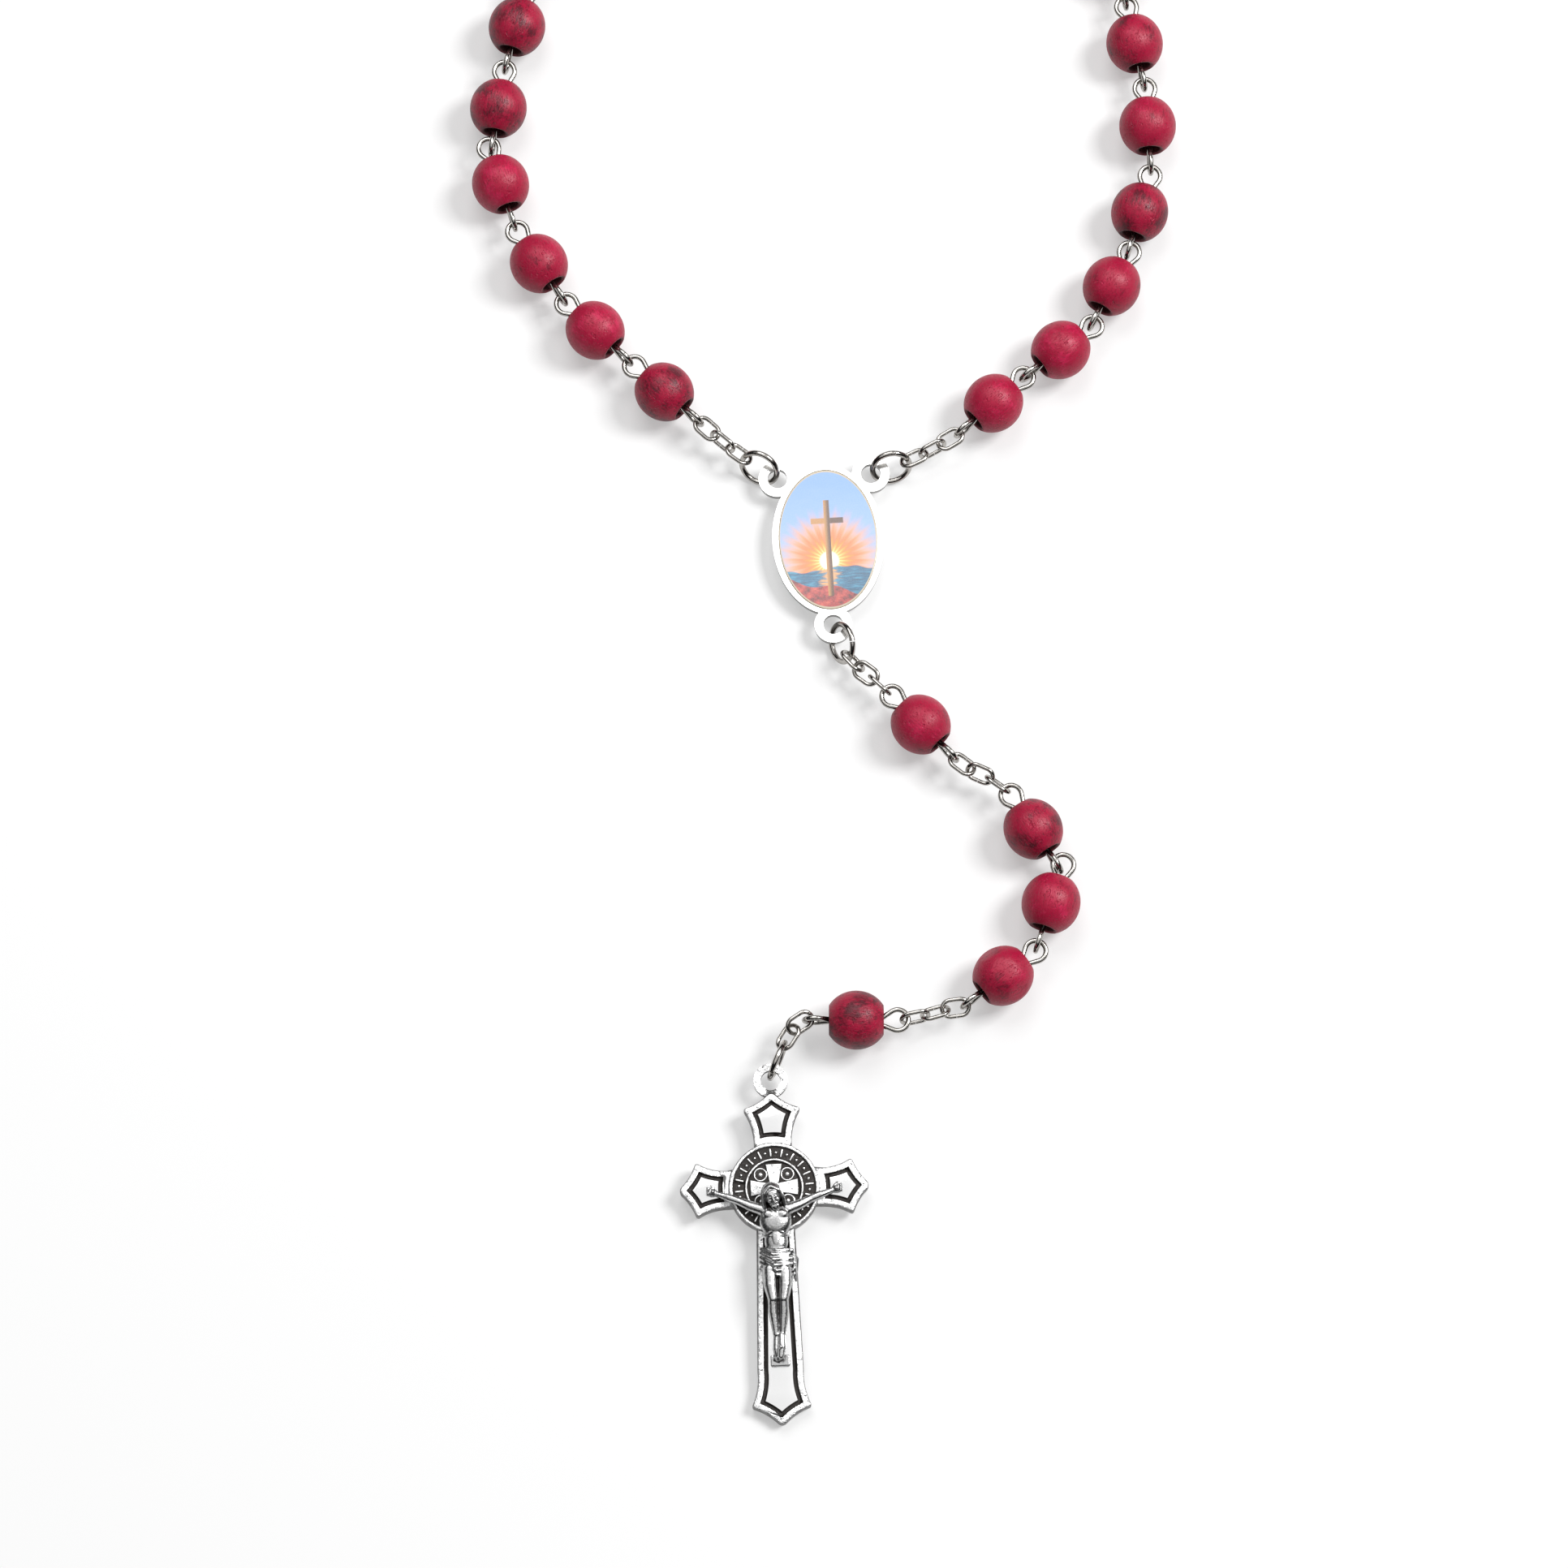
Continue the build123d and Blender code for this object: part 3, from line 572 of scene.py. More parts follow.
def cast_figure(crucifix):
    """The figure, polished where a cloth reaches and dark where it doesn't."""
    cast, point = casting("cast_figure")
    grit = cast.noise(point, 4.2, 4.0, 0.7)
    stain = cast.noise(point, 1.1, 3.0).step(0.50, 0.75) * 0.4
    dark = (open_to_air(cast, 1.5) + (grit - 0.5) * 0.25).step(0.88, 0.50).most(stain)
    metal = cast.blend(grit, worn(crucifix, 0.72), worn(crucifix, 0.42))
    cast.set("Base Color", cast.blend(dark, metal, crucifix.dark))
    cast.set("Roughness", grit * 0.14 + 0.17 + dark * 0.3)
    cast.bump(grit, 0.025 * MM)
    return cast


def bright_relief(crucifix):
    """The raised marks of the boss."""
    cast, point = casting("bright_relief")
    grit = cast.noise(point, 4.0, 3.0, 0.7)
    cast.set("Base Color", cast.blend(grit.step(0.35, 0.8), crucifix.bright, worn(crucifix, 0.6)))
    cast.set("Roughness", grit * 0.15 + 0.18)
    return cast


# ---------------------------------------------------------------- beads


def islands(node):
    """The places of the vertices of each separate solid of a CAD node, in metres."""
    source = NODES[node].data
    copy = bpy.data.objects.new("merging", source.copy())
    bpy.context.scene.collection.objects.link(copy)
    choose(copy)
    bpy.ops.object.mode_set(mode="EDIT")
    bpy.ops.mesh.select_all(action="SELECT")
    bpy.ops.mesh.remove_doubles(threshold=1e-7)
    bpy.ops.mesh.separate(type="LOOSE")
    bpy.ops.object.mode_set(mode="OBJECT")
    found = []
    for loose in list(bpy.context.selected_objects):
        places = np.empty(len(loose.data.vertices) * 3)
        loose.data.vertices.foreach_get("co", places)
        found.append(places.reshape(-1, 3))
        mesh = loose.data
        bpy.data.objects.remove(loose)
        bpy.data.meshes.remove(mesh)
    return sorted(found, key=lambda places: tuple(places.mean(0).round(6)))


def bead_matrix(places, roll):
    """The frame of one bead: x along its bore, which its vertices lie nearest to the ends of."""
    middle = (places.min(0) + places.max(0)) / 2
    values, vectors = np.linalg.eigh(np.cov((places - middle).T))
    along = Vector(vectors[:, int(np.argmax(values))])
    across = Vector((0, 0, 1)).cross(along).normalized()
    turn = Matrix((along, across, along.cross(across))).transposed().to_4x4()
    return Matrix.Translation(Vector(middle)) @ turn @ Matrix.Rotation(roll, 4, "X")


def section(beads):
    """Half of a bead's outline round its wall, as pairs of length and radius, from mouth to mouth."""
    half, mouth, top, bore = beads.length / 2, beads.mouth / 2, beads.diameter / 2, beads.bore / 2
    reach = math.acos(mouth / top)
    long_half = half / math.sin(reach)
    outside = [(long_half * math.sin(a), top * math.cos(a)) for a in np.linspace(-reach, reach, 25)]
    mouth_end = []
    for a in np.linspace(0, math.pi / 2, 5):
        length = half - MOUTH_ROUND + MOUTH_ROUND * math.cos(a)
        mouth_end.append((length, bore + MOUTH_ROUND - MOUTH_ROUND * math.sin(a)))
    bore_line = [(half * s, bore) for s in (0.45, 0.0, -0.45)]
    other_end = [(-length, height) for length, height in reversed(mouth_end)]
    return outside + mouth_end + bore_line + other_end


def turned_bead(name, beads):
    """A bead turned on the lathe: a ring of points laid on its section and spun round the bore."""
    outline = section(beads)
    bpy.ops.mesh.primitive_circle_add(vertices=len(outline), radius=1, fill_type="NOTHING")
    bead = bpy.context.object
    bead.name = name
    for vertex, (length, height) in zip(bead.data.vertices, outline):
        vertex.co = (length, 0, height)
    bpy.ops.object.mode_set(mode="EDIT")
    bpy.ops.mesh.select_all(action="SELECT")
    bpy.ops.mesh.spin(steps=44, angle=math.tau, center=(0, 0, 0), axis=(1, 0, 0))
    bpy.ops.mesh.select_all(action="SELECT")
    bpy.ops.mesh.remove_doubles(threshold=1e-4)
    bpy.ops.mesh.normals_make_consistent(inside=False)
    bpy.ops.object.mode_set(mode="OBJECT")
    return bead


def wear_flats(bead, beads):
    """Cut the six flats of the rod that a bead was turned from; their edges are softened only by the smooth
    shading given later.
    """
    bpy.ops.object.mode_set(mode="EDIT")
    reach = beads.diameter / 2 - FLAT_DEPTH
    for side in range(FLATS):
        angle = math.tau * (side + 0.5) / FLATS
        normal = Vector((0, math.cos(angle), math.sin(angle)))
        bpy.ops.mesh.select_all(action="SELECT")
        bpy.ops.mesh.bisect(
            plane_co=normal * reach, plane_no=normal, clear_outer=True, use_fill=True, threshold=1e-5
        )
    bpy.ops.mesh.select_all(action="SELECT")
    bpy.ops.mesh.normals_make_consistent(inside=False)
    bpy.ops.object.mode_set(mode="OBJECT")


def bead_values(bead, beads, rng):
    """What the wood finish reads: the place in the bead's own block of wood, its tone, and the painted shade
    in its bore and on the mouth's rounded edge.
    """
    count = len(bead.data.vertices)
    places = np.empty(count * 3)
    bead.data.vertices.foreach_get("co", places)
    places = places.reshape(-1, 3)
    out = np.hypot(places[:, 1], places[:, 2])
    # Painted shade in the bore: 1 all along the bore, fading out across the mouth's rounded edge.
    near_end = np.clip((np.abs(places[:, 0]) - 3.52) / 0.12, 0, 1)
    in_bore = out < beads.bore / 2 + 0.05
    rim = np.clip((beads.mouth / 2 + 0.1 - out) / 0.45, 0, 1) * np.where(in_bore, 1, near_end)
    shift = np.array([rng.uniform(-400, 400) for _ in range(3)])
    data = bead.data.attributes
    grain = (places + shift).astype("f").ravel()
    data.new("grain", "FLOAT_VECTOR", "POINT").data.foreach_set("vector", grain)
    data.new("rim", "FLOAT", "POINT").data.foreach_set("value", rim.astype("f"))
    data.new("tone", "FLOAT", "POINT").data.foreach_set("value", np.full(count, rng.random(), "f"))


class ROSARY_OT_turn_beads(bpy.types.Operator):
    """Turn every bead from stained wood and thread it where its solid is"""

    bl_idname = "rosary.turn_beads"
    bl_label = "Turn the beads"

    def execute(self, context):
        beads = context.scene.rosary_beads
        rng = random.Random(59)
        wood = stained_wood(beads)
        deselect()
        plain = turned_bead("plain_bead", beads)
        flatted = turned_bead("flatted_bead", beads)
        wear_flats(flatted, beads)
        for bead in (plain, flatted):
            choose(bead)
            bpy.ops.object.shade_smooth_by_angle(angle=math.radians(28))
        for node in sorted(name for name in NODES if "bead" in name):
            flats = node == "pendant_bead_4"
            pattern = flatted if flats else plain
            copies = []
            for places in islands(node):
                copy = bpy.data.objects.new("bead", pattern.data.copy())
                context.scene.collection.objects.link(copy)
                bead_values(copy, beads, rng)
                roll = 0.0 if flats else rng.uniform(0, math.tau)
                into_place(copy, bead_matrix(places, roll))
                copies.append(copy)
            dress(joined(copies, f"{node}_turned"), wood, BODY_OF[node], "stained_wood", node)
        for pattern in (plain, flatted):
            bpy.data.objects.remove(pattern)
        return {"FINISHED"}


# ---------------------------------------------------------------- wire and medal


class ROSARY_OT_plate_wires(bpy.types.Operator):
    """Plate the eye pins, chain links and jump rings"""

    bl_idname = "rosary.plate_wires"
    bl_label = "Plate the wires"

    def execute(self, context):
        wire = plated_wire(context.scene.rosary_wires)
        for node, piece in NODES.items():
            of_wire = node.endswith(("ring", "links", "eye_pins", "wirework"))
            if of_wire or "_link_" in node or "_eye_pin_" in node:
                wire.onto(piece)
        return {"FINISHED"}


class ROSARY_OT_finish_medal(bpy.types.Operator):
    """Polish the medal's plate and print its picture"""

    bl_idname = "rosary.finish_medal"
    bl_label = "Finish the medal"

    def execute(self, context):
        medal = context.scene.rosary_medal
        polished_plate(medal).onto(NODES["medal_frame"])
        printed_picture(medal).onto(NODES["medal_picture"])
        return {"FINISHED"}


# ---------------------------------------------------------------- crucifix


def ellipsoid(place, size, turn=(0, 0, 0)):
    """A ball pulled to three half sizes and turned, in millimetres."""
    bpy.ops.mesh.primitive_uv_sphere_add(
        segments=24, ring_count=14, radius=1, location=place, scale=size,
        rotation=[math.radians(a) for a in turn],
    )
    return bpy.context.object


def rod(start, end, thick, thin=None):
    """A tapering round rod with round ends."""
    thin = thick if thin is None else thin
    start, end = Vector(start), Vector(end)
    along = end - start
    bpy.ops.mesh.primitive_cone_add(
        vertices=20, radius1=thick, radius2=thin, depth=along.length, location=(start + end) / 2,
        rotation=along.to_track_quat("Z", "Y").to_euler(),
    )
    cone = bpy.context.object
    return [cone, ellipsoid(start, (thick,) * 3), ellipsoid(end, (thin,) * 3)]


def strand(points, radii):
    """Rods from point to point, each radius at its point."""
    made = []
    for start, end, thick, thin in zip(points, points[1:], radii, radii[1:]):
        made += rod(start, end, thick, thin)
    return made


def both(side_made):
    """What a function makes for the figure's one side and for its other."""
    return side_made(1) + side_made(-1)


def trunk():
    """Chest, ribs, belly and loincloth."""
    made = [
        ellipsoid((0, -4.6, 1.25), (2.2, 2.35, 1.10)),
        ellipsoid((0, -7.4, 1.05), (1.6, 2.1, 0.90)),
        ellipsoid((0, -6.9, 1.78), (0.62, 1.35, 0.28)),
        ellipsoid((0, -9.9, 1.15), (2.1, 1.9, 1.0)),
    ]
    for side in (1, -1):
        made.append(ellipsoid((side * 0.85, -3.95, 1.95), (0.85, 0.66, 0.42), (8, 0, side * 12)))
        for rib in range(5):
            y = -4.85 - rib * 0.46
            made += strand(
                [(side * 0.22, y + 0.18, 2.12 - rib * 0.05), (side * 0.95, y - 0.12, 2.02 - rib * 0.07),
                 (side * 1.62, y - 0.02, 1.42 - rib * 0.04)],
                [0.10, 0.13, 0.10],
            )
        made += strand([(side * 0.15, -3.0, 1.95), (side * 1.5, -2.85, 1.55)], [0.13, 0.17])
    return made


def loincloth():
    made = []
    folds = (
        ((-2.1, -8.5, 1.3), (-0.6, -9.3, 2.1), (1.9, -9.2, 1.5)),
        ((-2.15, -9.0, 1.3), (-0.5, -10.0, 2.2), (2.0, -9.8, 1.5)),
        ((-2.2, -9.6, 1.2), (-0.3, -10.8, 2.25), (2.1, -10.5, 1.4)),
        ((-2.2, -10.2, 1.1), (-0.1, -11.5, 2.15), (2.15, -11.3, 1.3)),
        ((-2.1, -10.8, 1.1), (0.0, -12.1, 1.95), (2.1, -12.0, 1.2)),
    )
    for fold in folds:
        made += strand(fold, (0.22, 0.30, 0.20))
    made += strand(
        [(1.9, -8.9, 1.4), (2.4, -9.6, 1.2), (2.3, -11.4, 1.0), (2.5, -12.8, 0.8)], [0.34, 0.30, 0.32, 0.16]
    )
    made += strand([(2.0, -8.8, 1.5), (2.75, -9.9, 1.0), (2.65, -11.6, 0.8)], [0.26, 0.22, 0.14])
    made.append(ellipsoid((1.95, -8.8, 1.5), (0.42, 0.36, 0.34), (0, 0, 30)))
    made += strand([(-2.05, -8.35, 1.1), (0.0, -8.75, 1.95), (2.0, -8.6, 1.3)], (0.2, 0.24, 0.22))
    return made


def arm_of_figure(side):
    made = strand(
        [(side * 1.7, -3.15, 1.25), (side * 3.3, -2.55, 1.05), (side * 4.9, -1.75, 0.85),
         (side * 6.2, -1.25, 0.8), (side * 7.7, -0.7, 0.62)],
        [0.80, 0.70, 0.54, 0.54, 0.36],
    )
    made.append(ellipsoid((side * 8.35, -0.45, 0.62), (0.72, 0.60, 0.40), (0, 0, side * 22)))
    for finger in range(4):
        low = -0.82 + finger * 0.27
        made += strand(
            [(side * 8.6, low, 0.72), (side * 9.05, low + 0.16, 0.86), (side * 8.86, low + 0.12, 1.12)],
            [0.15, 0.13, 0.11],
        )
    made += strand([(side * 8.1, 0.0, 0.7), (side * 8.5, 0.42, 0.85)], [0.17, 0.12])
    made.append(ellipsoid((side * 8.3, -0.42, 1.02), (0.2, 0.2, 0.16)))
    return made


def leg(side):
    made = strand(
        [(side * 0.95, -11.3, 1.1), (side * 0.98, -13.4, 1.35), (side * 0.72, -15.2, 1.55)],
        [1.06, 0.94, 0.70],
    )
    made += strand(
        [(side * 0.72, -15.2, 1.5), (side * 0.7, -17.0, 1.15), (side * 0.42, -19.9, 0.9)], [0.68, 0.70, 0.44]
    )
    made.append(ellipsoid((side * 0.72, -15.1, 1.85), (0.40, 0.48, 0.34)))
    made.append(ellipsoid((side * 0.42, -19.9, 0.95), (0.46, 0.4, 0.4)))
    return made


def feet():
    made = strand([(-0.35, -20.2, 0.75), (-0.42, -21.9, 0.85), (-0.3, -23.1, 0.75)], [0.46, 0.52, 0.42])
    made += strand([(0.30, -20.1, 1.05), (0.30, -21.6, 1.25), (0.12, -22.9, 1.25)], [0.46, 0.54, 0.44])
    for toe in range(4):
        made.append(ellipsoid((0.44 - toe * 0.25, -23.3 + toe * 0.05, 1.2), (0.15, 0.28, 0.16)))
        made.append(ellipsoid((-0.16 - toe * 0.2, -23.45 + toe * 0.07, 0.75), (0.13, 0.24, 0.15)))
    made.append(ellipsoid((0.12, -21.7, 1.78), (0.2, 0.2, 0.16)))
    bpy.ops.mesh.primitive_cube_add(size=1, location=(0, -23.4, 0.36), scale=(2.6, 1.5, 0.72))
    rest = bpy.context.object
    bpy.ops.object.mode_set(mode="EDIT")
    bpy.ops.mesh.bevel(offset=0.14, segments=3)
    bpy.ops.object.mode_set(mode="OBJECT")
    return made + [rest]


def head():
    """A calm, plain face with closed eyes, long hair and a short beard, bowed to one side."""
    made = [
        ellipsoid((0, 0, 0), (0.80, 1.08, 0.85)),
        ellipsoid((0, 0.25, -0.28), (1.12, 1.28, 0.86)),
        ellipsoid((0, -0.80, 0.30), (0.52, 0.46, 0.50)),
        ellipsoid((0, -1.02, 0.52), (0.38, 0.36, 0.30)),
        ellipsoid((0, 0.46, 0.58), (0.55, 0.30, 0.22)),
    ]
    made += strand([(0, 0.26, 0.86), (0, -0.22, 1.06)], [0.07, 0.13])
    for side in (1, -1):
        made += strand([(side * 0.12, 0.30, 0.85), (side * 0.50, 0.28, 0.68)], [0.08, 0.07])
        made.append(ellipsoid((side * 0.30, 0.08, 0.78), (0.17, 0.10, 0.10)))
        made.append(ellipsoid((side * 0.40, -0.25, 0.66), (0.22, 0.24, 0.18)))
        made += strand([(side * 0.04, -0.52, 0.93), (side * 0.30, -0.62, 0.76)], [0.08, 0.06])
        for lock in range(5):
            back = lock * 0.22
            made += strand(
                [(side * 0.10, 1.14 - lock * 0.1, 0.50 - back),
                 (side * (0.74 + lock * 0.03), 0.62, 0.46 - back),
                 (side * (1.02 + lock * 0.02), -0.45, 0.26 - back),
                 (side * (0.96 + lock * 0.04), -1.35, 0.1 - back),
                 (side * (1.12 + lock * 0.05), -1.95 - lock * 0.06, -0.05 - back * 0.6)],
                [0.15, 0.20, 0.19, 0.17, 0.10],
            )
    for tuft in range(5):
        x = (tuft - 2) * 0.15
        made += strand([(x, -0.85, 0.72), (x * 0.8, -1.38 + abs(x) * 0.5, 0.62)], [0.11, 0.07])
    whole = joined(made, "head")
    settle(whole)
    tilt = Matrix.Translation((-0.30, -1.55, 2.05)) @ Matrix.Rotation(math.radians(14), 4, "Z")
    whole.data.transform(tilt @ Matrix.Rotation(math.radians(16), 4, "X") @ Matrix.Scale(1.32, 4))
    return [whole] + rod((0, -3.0, 1.35), (-0.12, -2.1, 1.55), 0.55, 0.5)


class ROSARY_OT_cast_figure(bpy.types.Operator):
    """Model the figure from rods and balls, run them together and seat it on the cross"""

    bl_idname = "rosary.cast_figure"
    bl_label = "Cast the figure"

    def execute(self, context):
        crucifix = context.scene.rosary_crucifix
        deselect()
        made = trunk() + loincloth() + both(arm_of_figure) + both(leg) + feet() + head()
        figure = joined(made, "crucifix_figure_cast")
        settle(figure)
        melt = figure.modifiers.new("melt", "REMESH")
        melt.mode = "VOXEL"
        melt.voxel_size = crucifix.voxel
        soften = figure.modifiers.new("soften", "SMOOTH")
        soften.factor = 0.5
        soften.iterations = 2
        for modifier in (melt.name, soften.name):
            bpy.ops.object.modifier_apply(modifier=modifier)
        bpy.ops.object.mode_set(mode="EDIT")
        bpy.ops.mesh.select_all(action="SELECT")
        bpy.ops.mesh.bisect(plane_co=(0, 0, 0.02), plane_no=(0, 0, -1), clear_outer=True, use_fill=True)
        bpy.ops.object.mode_set(mode="OBJECT")
        bpy.ops.object.shade_smooth_by_angle(angle=math.radians(40))
        into_place(figure, cross_matrix() @ Matrix.Translation((0, 0, FRONT * MM)))
        finish = cast_figure(crucifix)
        dress(figure, finish, "crucifix", "figure_metal", "crucifix_figure")
        return {"FINISHED"}


def face_values(piece):
    """The middle and the way out of each face."""
    count = len(piece.data.polygons)
    middles, outs = np.empty(count * 3), np.empty(count * 3)
    piece.data.polygons.foreach_get("center", middles)
    piece.data.polygons.foreach_get("normal", outs)
    return middles.reshape(-1, 3), outs.reshape(-1, 3)


def pick(piece, kind, chosen):
    """Select these faces or edges of a piece and no others."""
    for group in (piece.data.vertices, piece.data.edges, piece.data.polygons):
        group.foreach_set("select", np.zeros(len(group), bool))
    getattr(piece.data, kind).foreach_set("select", chosen)


def front_edges(piece, low_walls):
    """The edges where the cross's front turns down into a wall, a deep or a shallow one."""
    middles, outs = face_values(piece)
    heights = np.array([vertex.co.z for vertex in piece.data.vertices])
    top, wall, lowest = {}, {}, {}
    for face in piece.data.polygons:
        lowest[face.index] = min(heights[index] for index in face.vertices)
        for key in face.edge_keys:
            if outs[face.index][2] > 0.9:
                top[key] = face.index
            elif abs(outs[face.index][2]) < 0.3:
                wall[key] = face.index
    chosen = []
    for edge in piece.data.edges:
        high = min(heights[index] for index in edge.vertices) > FRONT - 0.02
        fits = edge.key in top and edge.key in wall and high
        chosen.append(bool(fits and (lowest[wall[edge.key]] < 0.6) == low_walls))
    return np.array(chosen)


class ROSARY_OT_finish_cross(bpy.types.Operator):
    """Round the cross's edges, polish its fields, antique its hollows and raise its small ornaments"""

    bl_idname = "rosary.finish_cross"
    bl_label = "Finish the cross"

    def execute(self, context):
        crucifix = context.scene.rosary_crucifix
        cross = bpy.data.objects.new("crucifix_cross_cast", NODES["crucifix_cross"].data.copy())
        context.scene.collection.objects.link(cross)
        cross.data.materials.clear()
        for finish in (cast_rim(crucifix), cast_field(crucifix), antiquing(crucifix)):
            cross.data.materials.append(finish.material)
        cross.data.transform(Matrix.Scale(1 / MM, 4) @ cross_matrix().inverted())
        choose(cross)
        bpy.ops.object.mode_set(mode="EDIT")
        bpy.ops.mesh.select_mode(type="VERT")
        bpy.ops.mesh.select_all(action="SELECT")
        bpy.ops.mesh.remove_doubles(threshold=1e-3)
        bpy.ops.mesh.dissolve_limited(angle_limit=math.radians(0.5))
        for low_walls, width in ((True, OUTER_ROUND), (False, LIP_ROUND)):
            bpy.ops.object.mode_set(mode="OBJECT")
            pick(cross, "edges", front_edges(cross, low_walls))
            bpy.ops.object.mode_set(mode="EDIT")
            bpy.ops.mesh.select_mode(type="EDGE")
            bpy.ops.mesh.bevel(offset=width, segments=3, clamp_overlap=False)
        bpy.ops.object.mode_set(mode="OBJECT")
        self.darken_lips(cross)
        bpy.ops.object.mode_set(mode="EDIT")
        bpy.ops.mesh.select_mode(type="FACE")
        bpy.ops.mesh.select_all(action="SELECT")
        bpy.ops.mesh.quads_convert_to_tris()
        bpy.ops.object.mode_set(mode="OBJECT")
        bpy.ops.object.shade_smooth_by_angle(angle=math.radians(35))
        self.choose_finishes(cross)
        into_place(cross, cross_matrix())
        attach(cross, "crucifix")
        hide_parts("crucifix_cross")
        self.raise_ornaments(crucifix)
        return {"FINISHED"}

    def darken_lips(self, cross):
        """The rounded lips that the last bevel made beside the sunk lines take the third finish."""
        middles, outs = face_values(cross)
        made = np.zeros(len(middles), bool)
        cross.data.polygons.foreach_get("select", made)
        beside_lines = (middles[:, 2] < FRONT + 0.01) & (np.hypot(middles[:, 0], middles[:, 1]) > BOSS_EDGE)
        lips = made & beside_lines & (outs[:, 2] < 0.995)
        cross.data.polygons.foreach_set("material_index", np.where(lips, 2, 0).astype(np.int32))

    def choose_finishes(self, cross):
        """Rims take the first finish, the fields the second, and the hollows the third."""
        middles, outs = face_values(cross)
        up = outs[:, 2] > 0.9
        reach = np.hypot(middles[:, 0], middles[:, 1])
        line = up & (np.abs(middles[:, 2] - LINE_FLOOR) < 0.02) & (middles[:, 1] < BAIL_FROM)
        floor = up & (np.abs(middles[:, 2] - BOSS_FLOOR) < 0.02) & (reach < BOSS_HOLLOW)
        pick(cross, "polygons", line | floor)
        bpy.ops.object.mode_set(mode="EDIT")
        bpy.ops.mesh.select_more(use_face_step=False)
        cross.active_material_index = 2
        bpy.ops.object.material_slot_assign()
        bpy.ops.object.mode_set(mode="OBJECT")
        starts = np.zeros(len(middles), bool)
        for place in FIELDS:
            found = cross.closest_point_on_mesh((*place, FRONT + 0.05))[3]
            starts[found] = True
        pick(cross, "polygons", starts)
        bpy.ops.object.mode_set(mode="EDIT")
        bpy.ops.mesh.faces_select_linked_flat(sharpness=math.radians(2))
        cross.active_material_index = 1
        bpy.ops.object.material_slot_assign()
        bpy.ops.object.mode_set(mode="OBJECT")

    def raise_ornaments(self, crucifix):
        """A ring of bars and dots in the band, and four ringed dots about the small cross."""
        deselect()
        made = []
        for number in range(MARKS):
            angle = math.tau * (number + 0.5) / MARKS
            made.append(self.mark(Vector((math.cos(angle), math.sin(angle), 0)) * MARK_REACH, angle, number))
        for quarter in range(4):
            angle = math.radians(45 + 90 * quarter)
            place = Vector((math.cos(angle), math.sin(angle), 0)) * DOT_REACH
            place.z = BOSS_FLOOR + ORNAMENT_RISE
            bpy.ops.mesh.primitive_torus_add(
                location=place, major_radius=0.83, minor_radius=0.12, major_segments=32, minor_segments=10
            )
            made.append(bpy.context.object)
            made.append(ellipsoid(place, (0.30, 0.30, 0.18)))
        ornaments = joined(made, "crucifix_boss_ornaments")
        settle(ornaments)
        bpy.ops.object.shade_smooth_by_angle(angle=math.radians(50))
        into_place(ornaments, cross_matrix())
        dress(ornaments, bright_relief(crucifix), "crucifix", "crucifix_metal")

    def mark(self, middle, angle, number):
        """One raised mark of the band: a long bar, or a dot between two of them."""
        place = middle + Vector((0, 0, BOSS_FLOOR + ORNAMENT_RISE))
        if number % 2:
            return ellipsoid(place, (0.21, 0.21, 0.19))
        bpy.ops.mesh.primitive_cube_add(
            size=1, location=place, rotation=(0, 0, angle), scale=(1.1, 0.24, 0.3)
        )
        bar = bpy.context.object
        bpy.ops.object.mode_set(mode="EDIT")
        bpy.ops.mesh.bevel(offset=0.06, segments=2)
        bpy.ops.object.mode_set(mode="OBJECT")
        return bar


# ---------------------------------------------------------------- stage


def light(name, place, aim, size, power):
    data = bpy.data.lights.new(name, "AREA")
    data.size = size
    data.energy = power
    lamp = bpy.data.objects.new(name, data)
    bpy.context.scene.collection.objects.link(lamp)
    lamp.location = place
    lamp.rotation_euler = (Vector(aim) - Vector(place)).to_track_quat("-Z", "Y").to_euler()
    return lamp


def seen_white(name, diffuse, white):
    """A matt white that the camera and polished metal see a little brighter than its own light makes it."""
    matt = Finish(name, Base_Color=(diffuse, diffuse, diffuse, 1), Roughness=0.9, Specular_IOR_Level=0.0)
    path = matt.node("ShaderNodeLightPath", output="Is Camera Ray")
    glossy = matt.node("ShaderNodeLightPath", output="Is Glossy Ray")
    through = matt.node("ShaderNodeLightPath", output="Is Transmission Ray")
    matt.set("Emission Color", (1, 1, 1, 1))
    matt.set("Emission Strength", (path.most(glossy).most(through)) * white)
    return matt


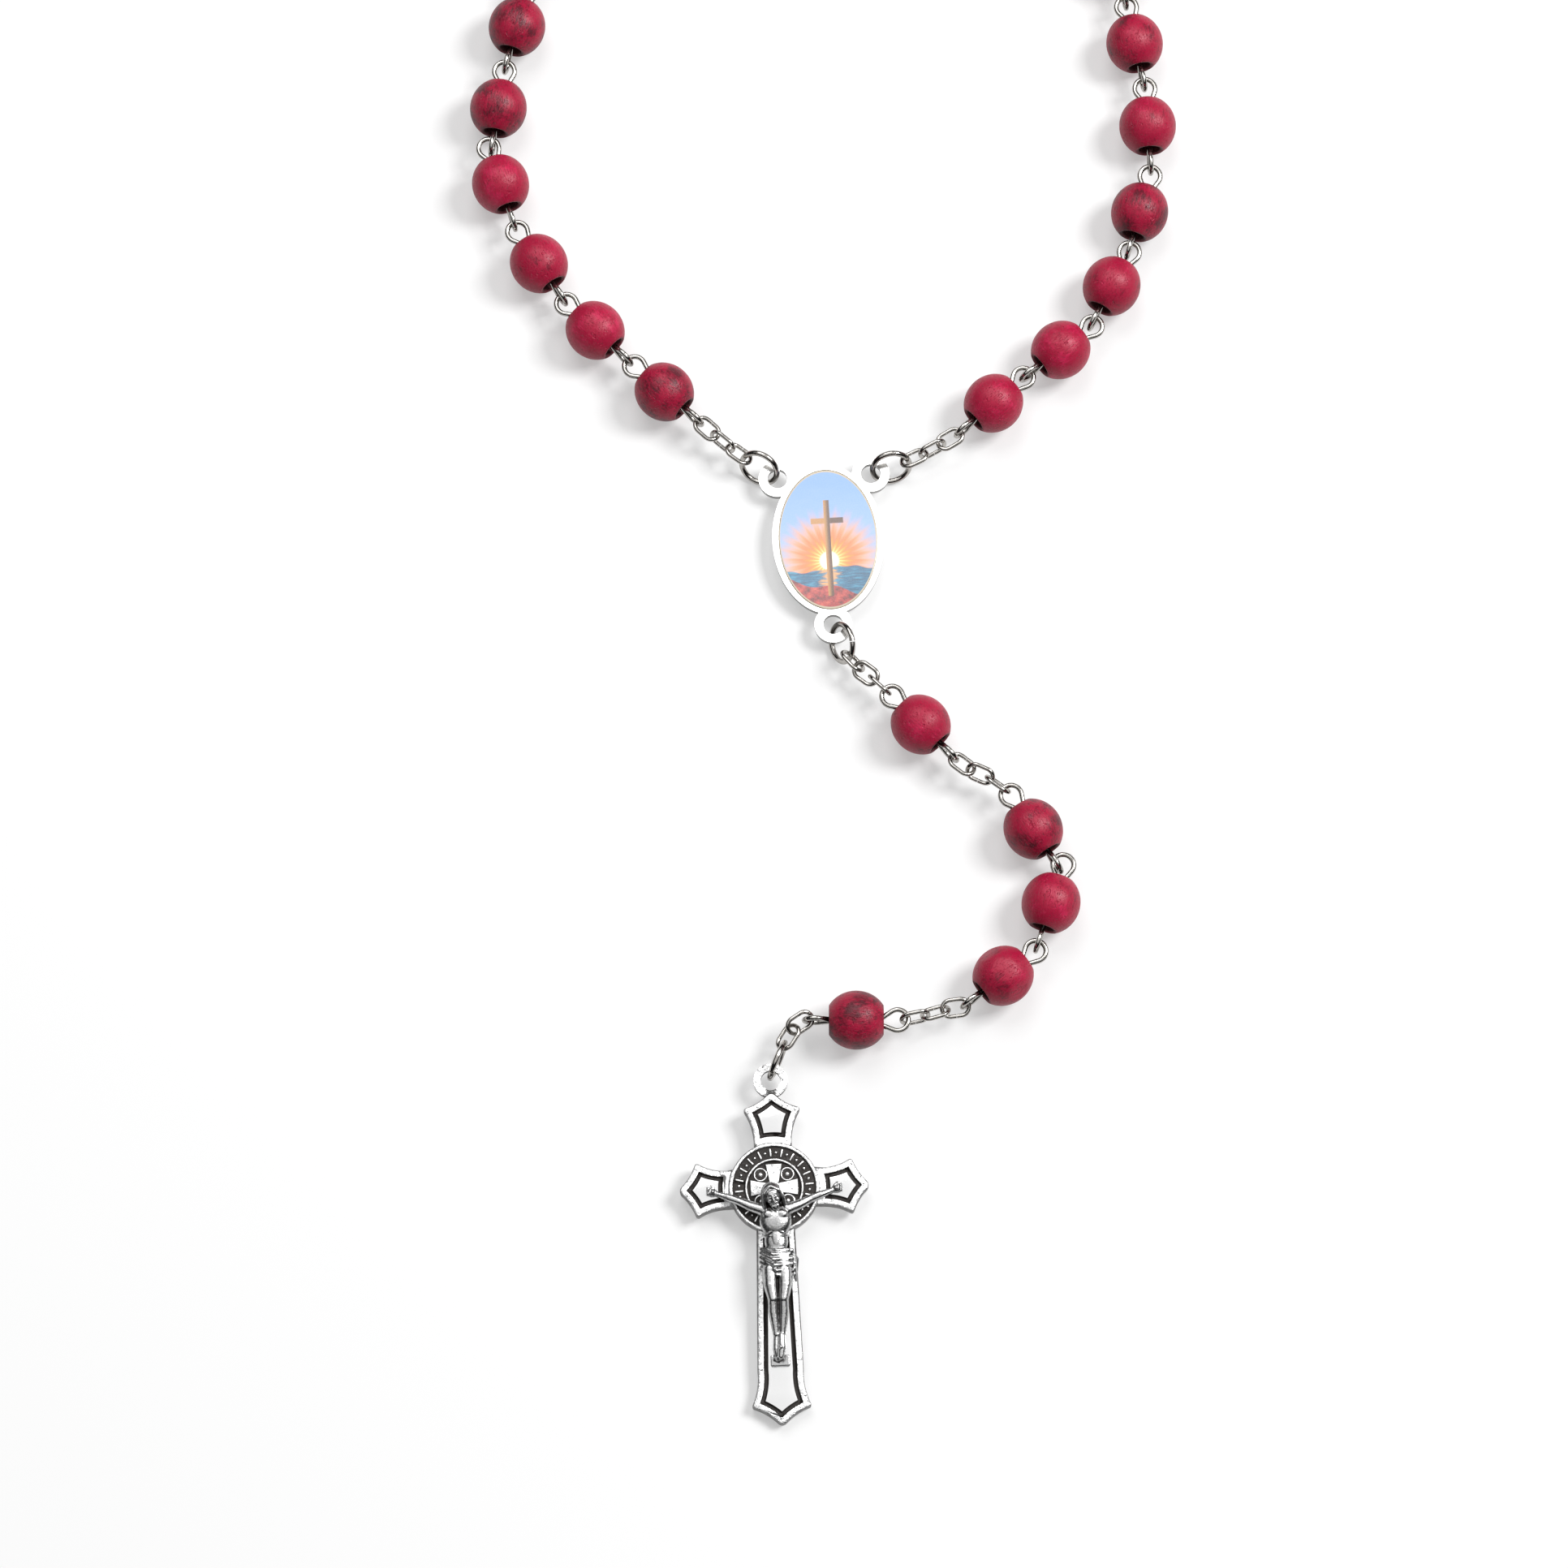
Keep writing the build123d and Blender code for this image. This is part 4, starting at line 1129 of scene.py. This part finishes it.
class ROSARY_OT_set_stage(bpy.types.Operator):
    """Lay a white table, light it softly from the right and set the camera"""

    bl_idname = "rosary.set_stage"
    bl_label = "Set the stage"

    def execute(self, context):
        stage = context.scene.rosary_stage
        deselect()
        medal = medal_matrix().translation
        bpy.ops.mesh.primitive_plane_add(size=6, location=(0, 0, -0.00003))
        table = bpy.context.object
        table.name = "table"
        seen_white("white_table", 0.55, 0.38).onto(table)
        bpy.ops.mesh.primitive_cylinder_add(
            vertices=64, radius=0.62, depth=0.6, end_fill_type="NOTHING", location=(0, medal.y + 0.15, 0.32)
        )
        card = bpy.context.object
        card.name = "dark_card"
        black = Finish(
            "black_card", Base_Color=(0.012, 0.012, 0.013, 1), Roughness=0.9, Specular_IOR_Level=0.0
        )
        black.onto(card)
        card.visible_camera = False
        card.visible_diffuse = False
        card.visible_shadow = False
        light("key", (0.75, medal.y + 0.25, 0.95), medal, 0.45, 13.5)
        light("softbox", (-0.14, medal.y + 0.50, 0.80), medal, 0.6, 3.6)

        world = bpy.data.worlds.new("white_room")
        world.use_nodes = True
        context.scene.world = world
        tree = world.node_tree
        path = tree.nodes.new("ShaderNodeLightPath")
        plain = tree.nodes.new("ShaderNodeMath")
        plain.operation = "MAXIMUM"
        tree.links.new(path.outputs["Is Camera Ray"], plain.inputs[0])
        tree.links.new(path.outputs["Is Glossy Ray"], plain.inputs[1])
        more = tree.nodes.new("ShaderNodeMath")
        more.operation = "MAXIMUM"
        tree.links.new(plain.outputs[0], more.inputs[0])
        tree.links.new(path.outputs["Is Transmission Ray"], more.inputs[1])
        level = tree.nodes.new("ShaderNodeMapRange")
        level.inputs["To Min"].default_value = 0.30
        level.inputs["To Max"].default_value = 1.0
        tree.links.new(more.outputs[0], level.inputs["Value"])
        tree.links.new(level.outputs[0], tree.nodes["Background"].inputs["Strength"])
        tree.nodes["Background"].inputs["Color"].default_value = (1, 1, 1, 1)

        data = bpy.data.cameras.new("camera")
        data.lens = stage.lens
        data.sensor_width = 36
        camera = bpy.data.objects.new("camera", data)
        context.scene.collection.objects.link(camera)
        aim = medal + Vector((stage.aim[0] * MM, stage.aim[1] * MM, 0))
        distance = stage.field * MM * stage.lens / data.sensor_width
        back = Vector((0, -math.cos(stage.elevation), math.sin(stage.elevation)))
        camera.location = aim + back * distance
        camera.rotation_euler = (-back).to_track_quat("-Z", "Y").to_euler()
        data.clip_start, data.clip_end = 0.01, 20
        context.scene.camera = camera
        context.scene.view_settings.view_transform = "Standard"
        return {"FINISHED"}


# ---------------------------------------------------------------- add-on


class ROSARY_PT_panel(bpy.types.Panel):
    """The rosary's steps, in order"""

    bl_idname = "ROSARY_PT_panel"
    bl_label = "Rosary"
    bl_space_type = "VIEW_3D"
    bl_region_type = "UI"
    bl_category = "Rosary"

    def draw(self, context):
        for step in STEPS:
            self.layout.operator(step.bl_idname)
        for group in GROUPS:
            settings = getattr(context.scene, group)
            for name in settings.__annotations__:
                self.layout.prop(settings, name)


STEPS = (
    ROSARY_OT_set_stage,
    ROSARY_OT_turn_beads,
    ROSARY_OT_plate_wires,
    ROSARY_OT_finish_medal,
    ROSARY_OT_finish_cross,
    ROSARY_OT_cast_figure,
)
GROUPS = {
    "rosary_beads": BeadSettings,
    "rosary_wires": WireSettings,
    "rosary_medal": MedalSettings,
    "rosary_crucifix": CrucifixSettings,
    "rosary_stage": StageSettings,
}


def register():
    for name, group in GROUPS.items():
        bpy.utils.register_class(group)
        setattr(bpy.types.Scene, name, bpy.props.PointerProperty(type=group))
    for shown in (*STEPS, ROSARY_PT_panel):
        bpy.utils.register_class(shown)


def unregister():
    for shown in (ROSARY_PT_panel, *reversed(STEPS)):
        bpy.utils.unregister_class(shown)
    for name, group in GROUPS.items():
        delattr(bpy.types.Scene, name)
        bpy.utils.unregister_class(group)


def main():
    register()
    bpy.ops.rosary.set_stage()
    bpy.ops.rosary.turn_beads()
    bpy.ops.rosary.plate_wires()
    bpy.ops.rosary.finish_medal()
    bpy.ops.rosary.finish_cross()
    bpy.ops.rosary.cast_figure()


if __name__ == "__main__":
    main()
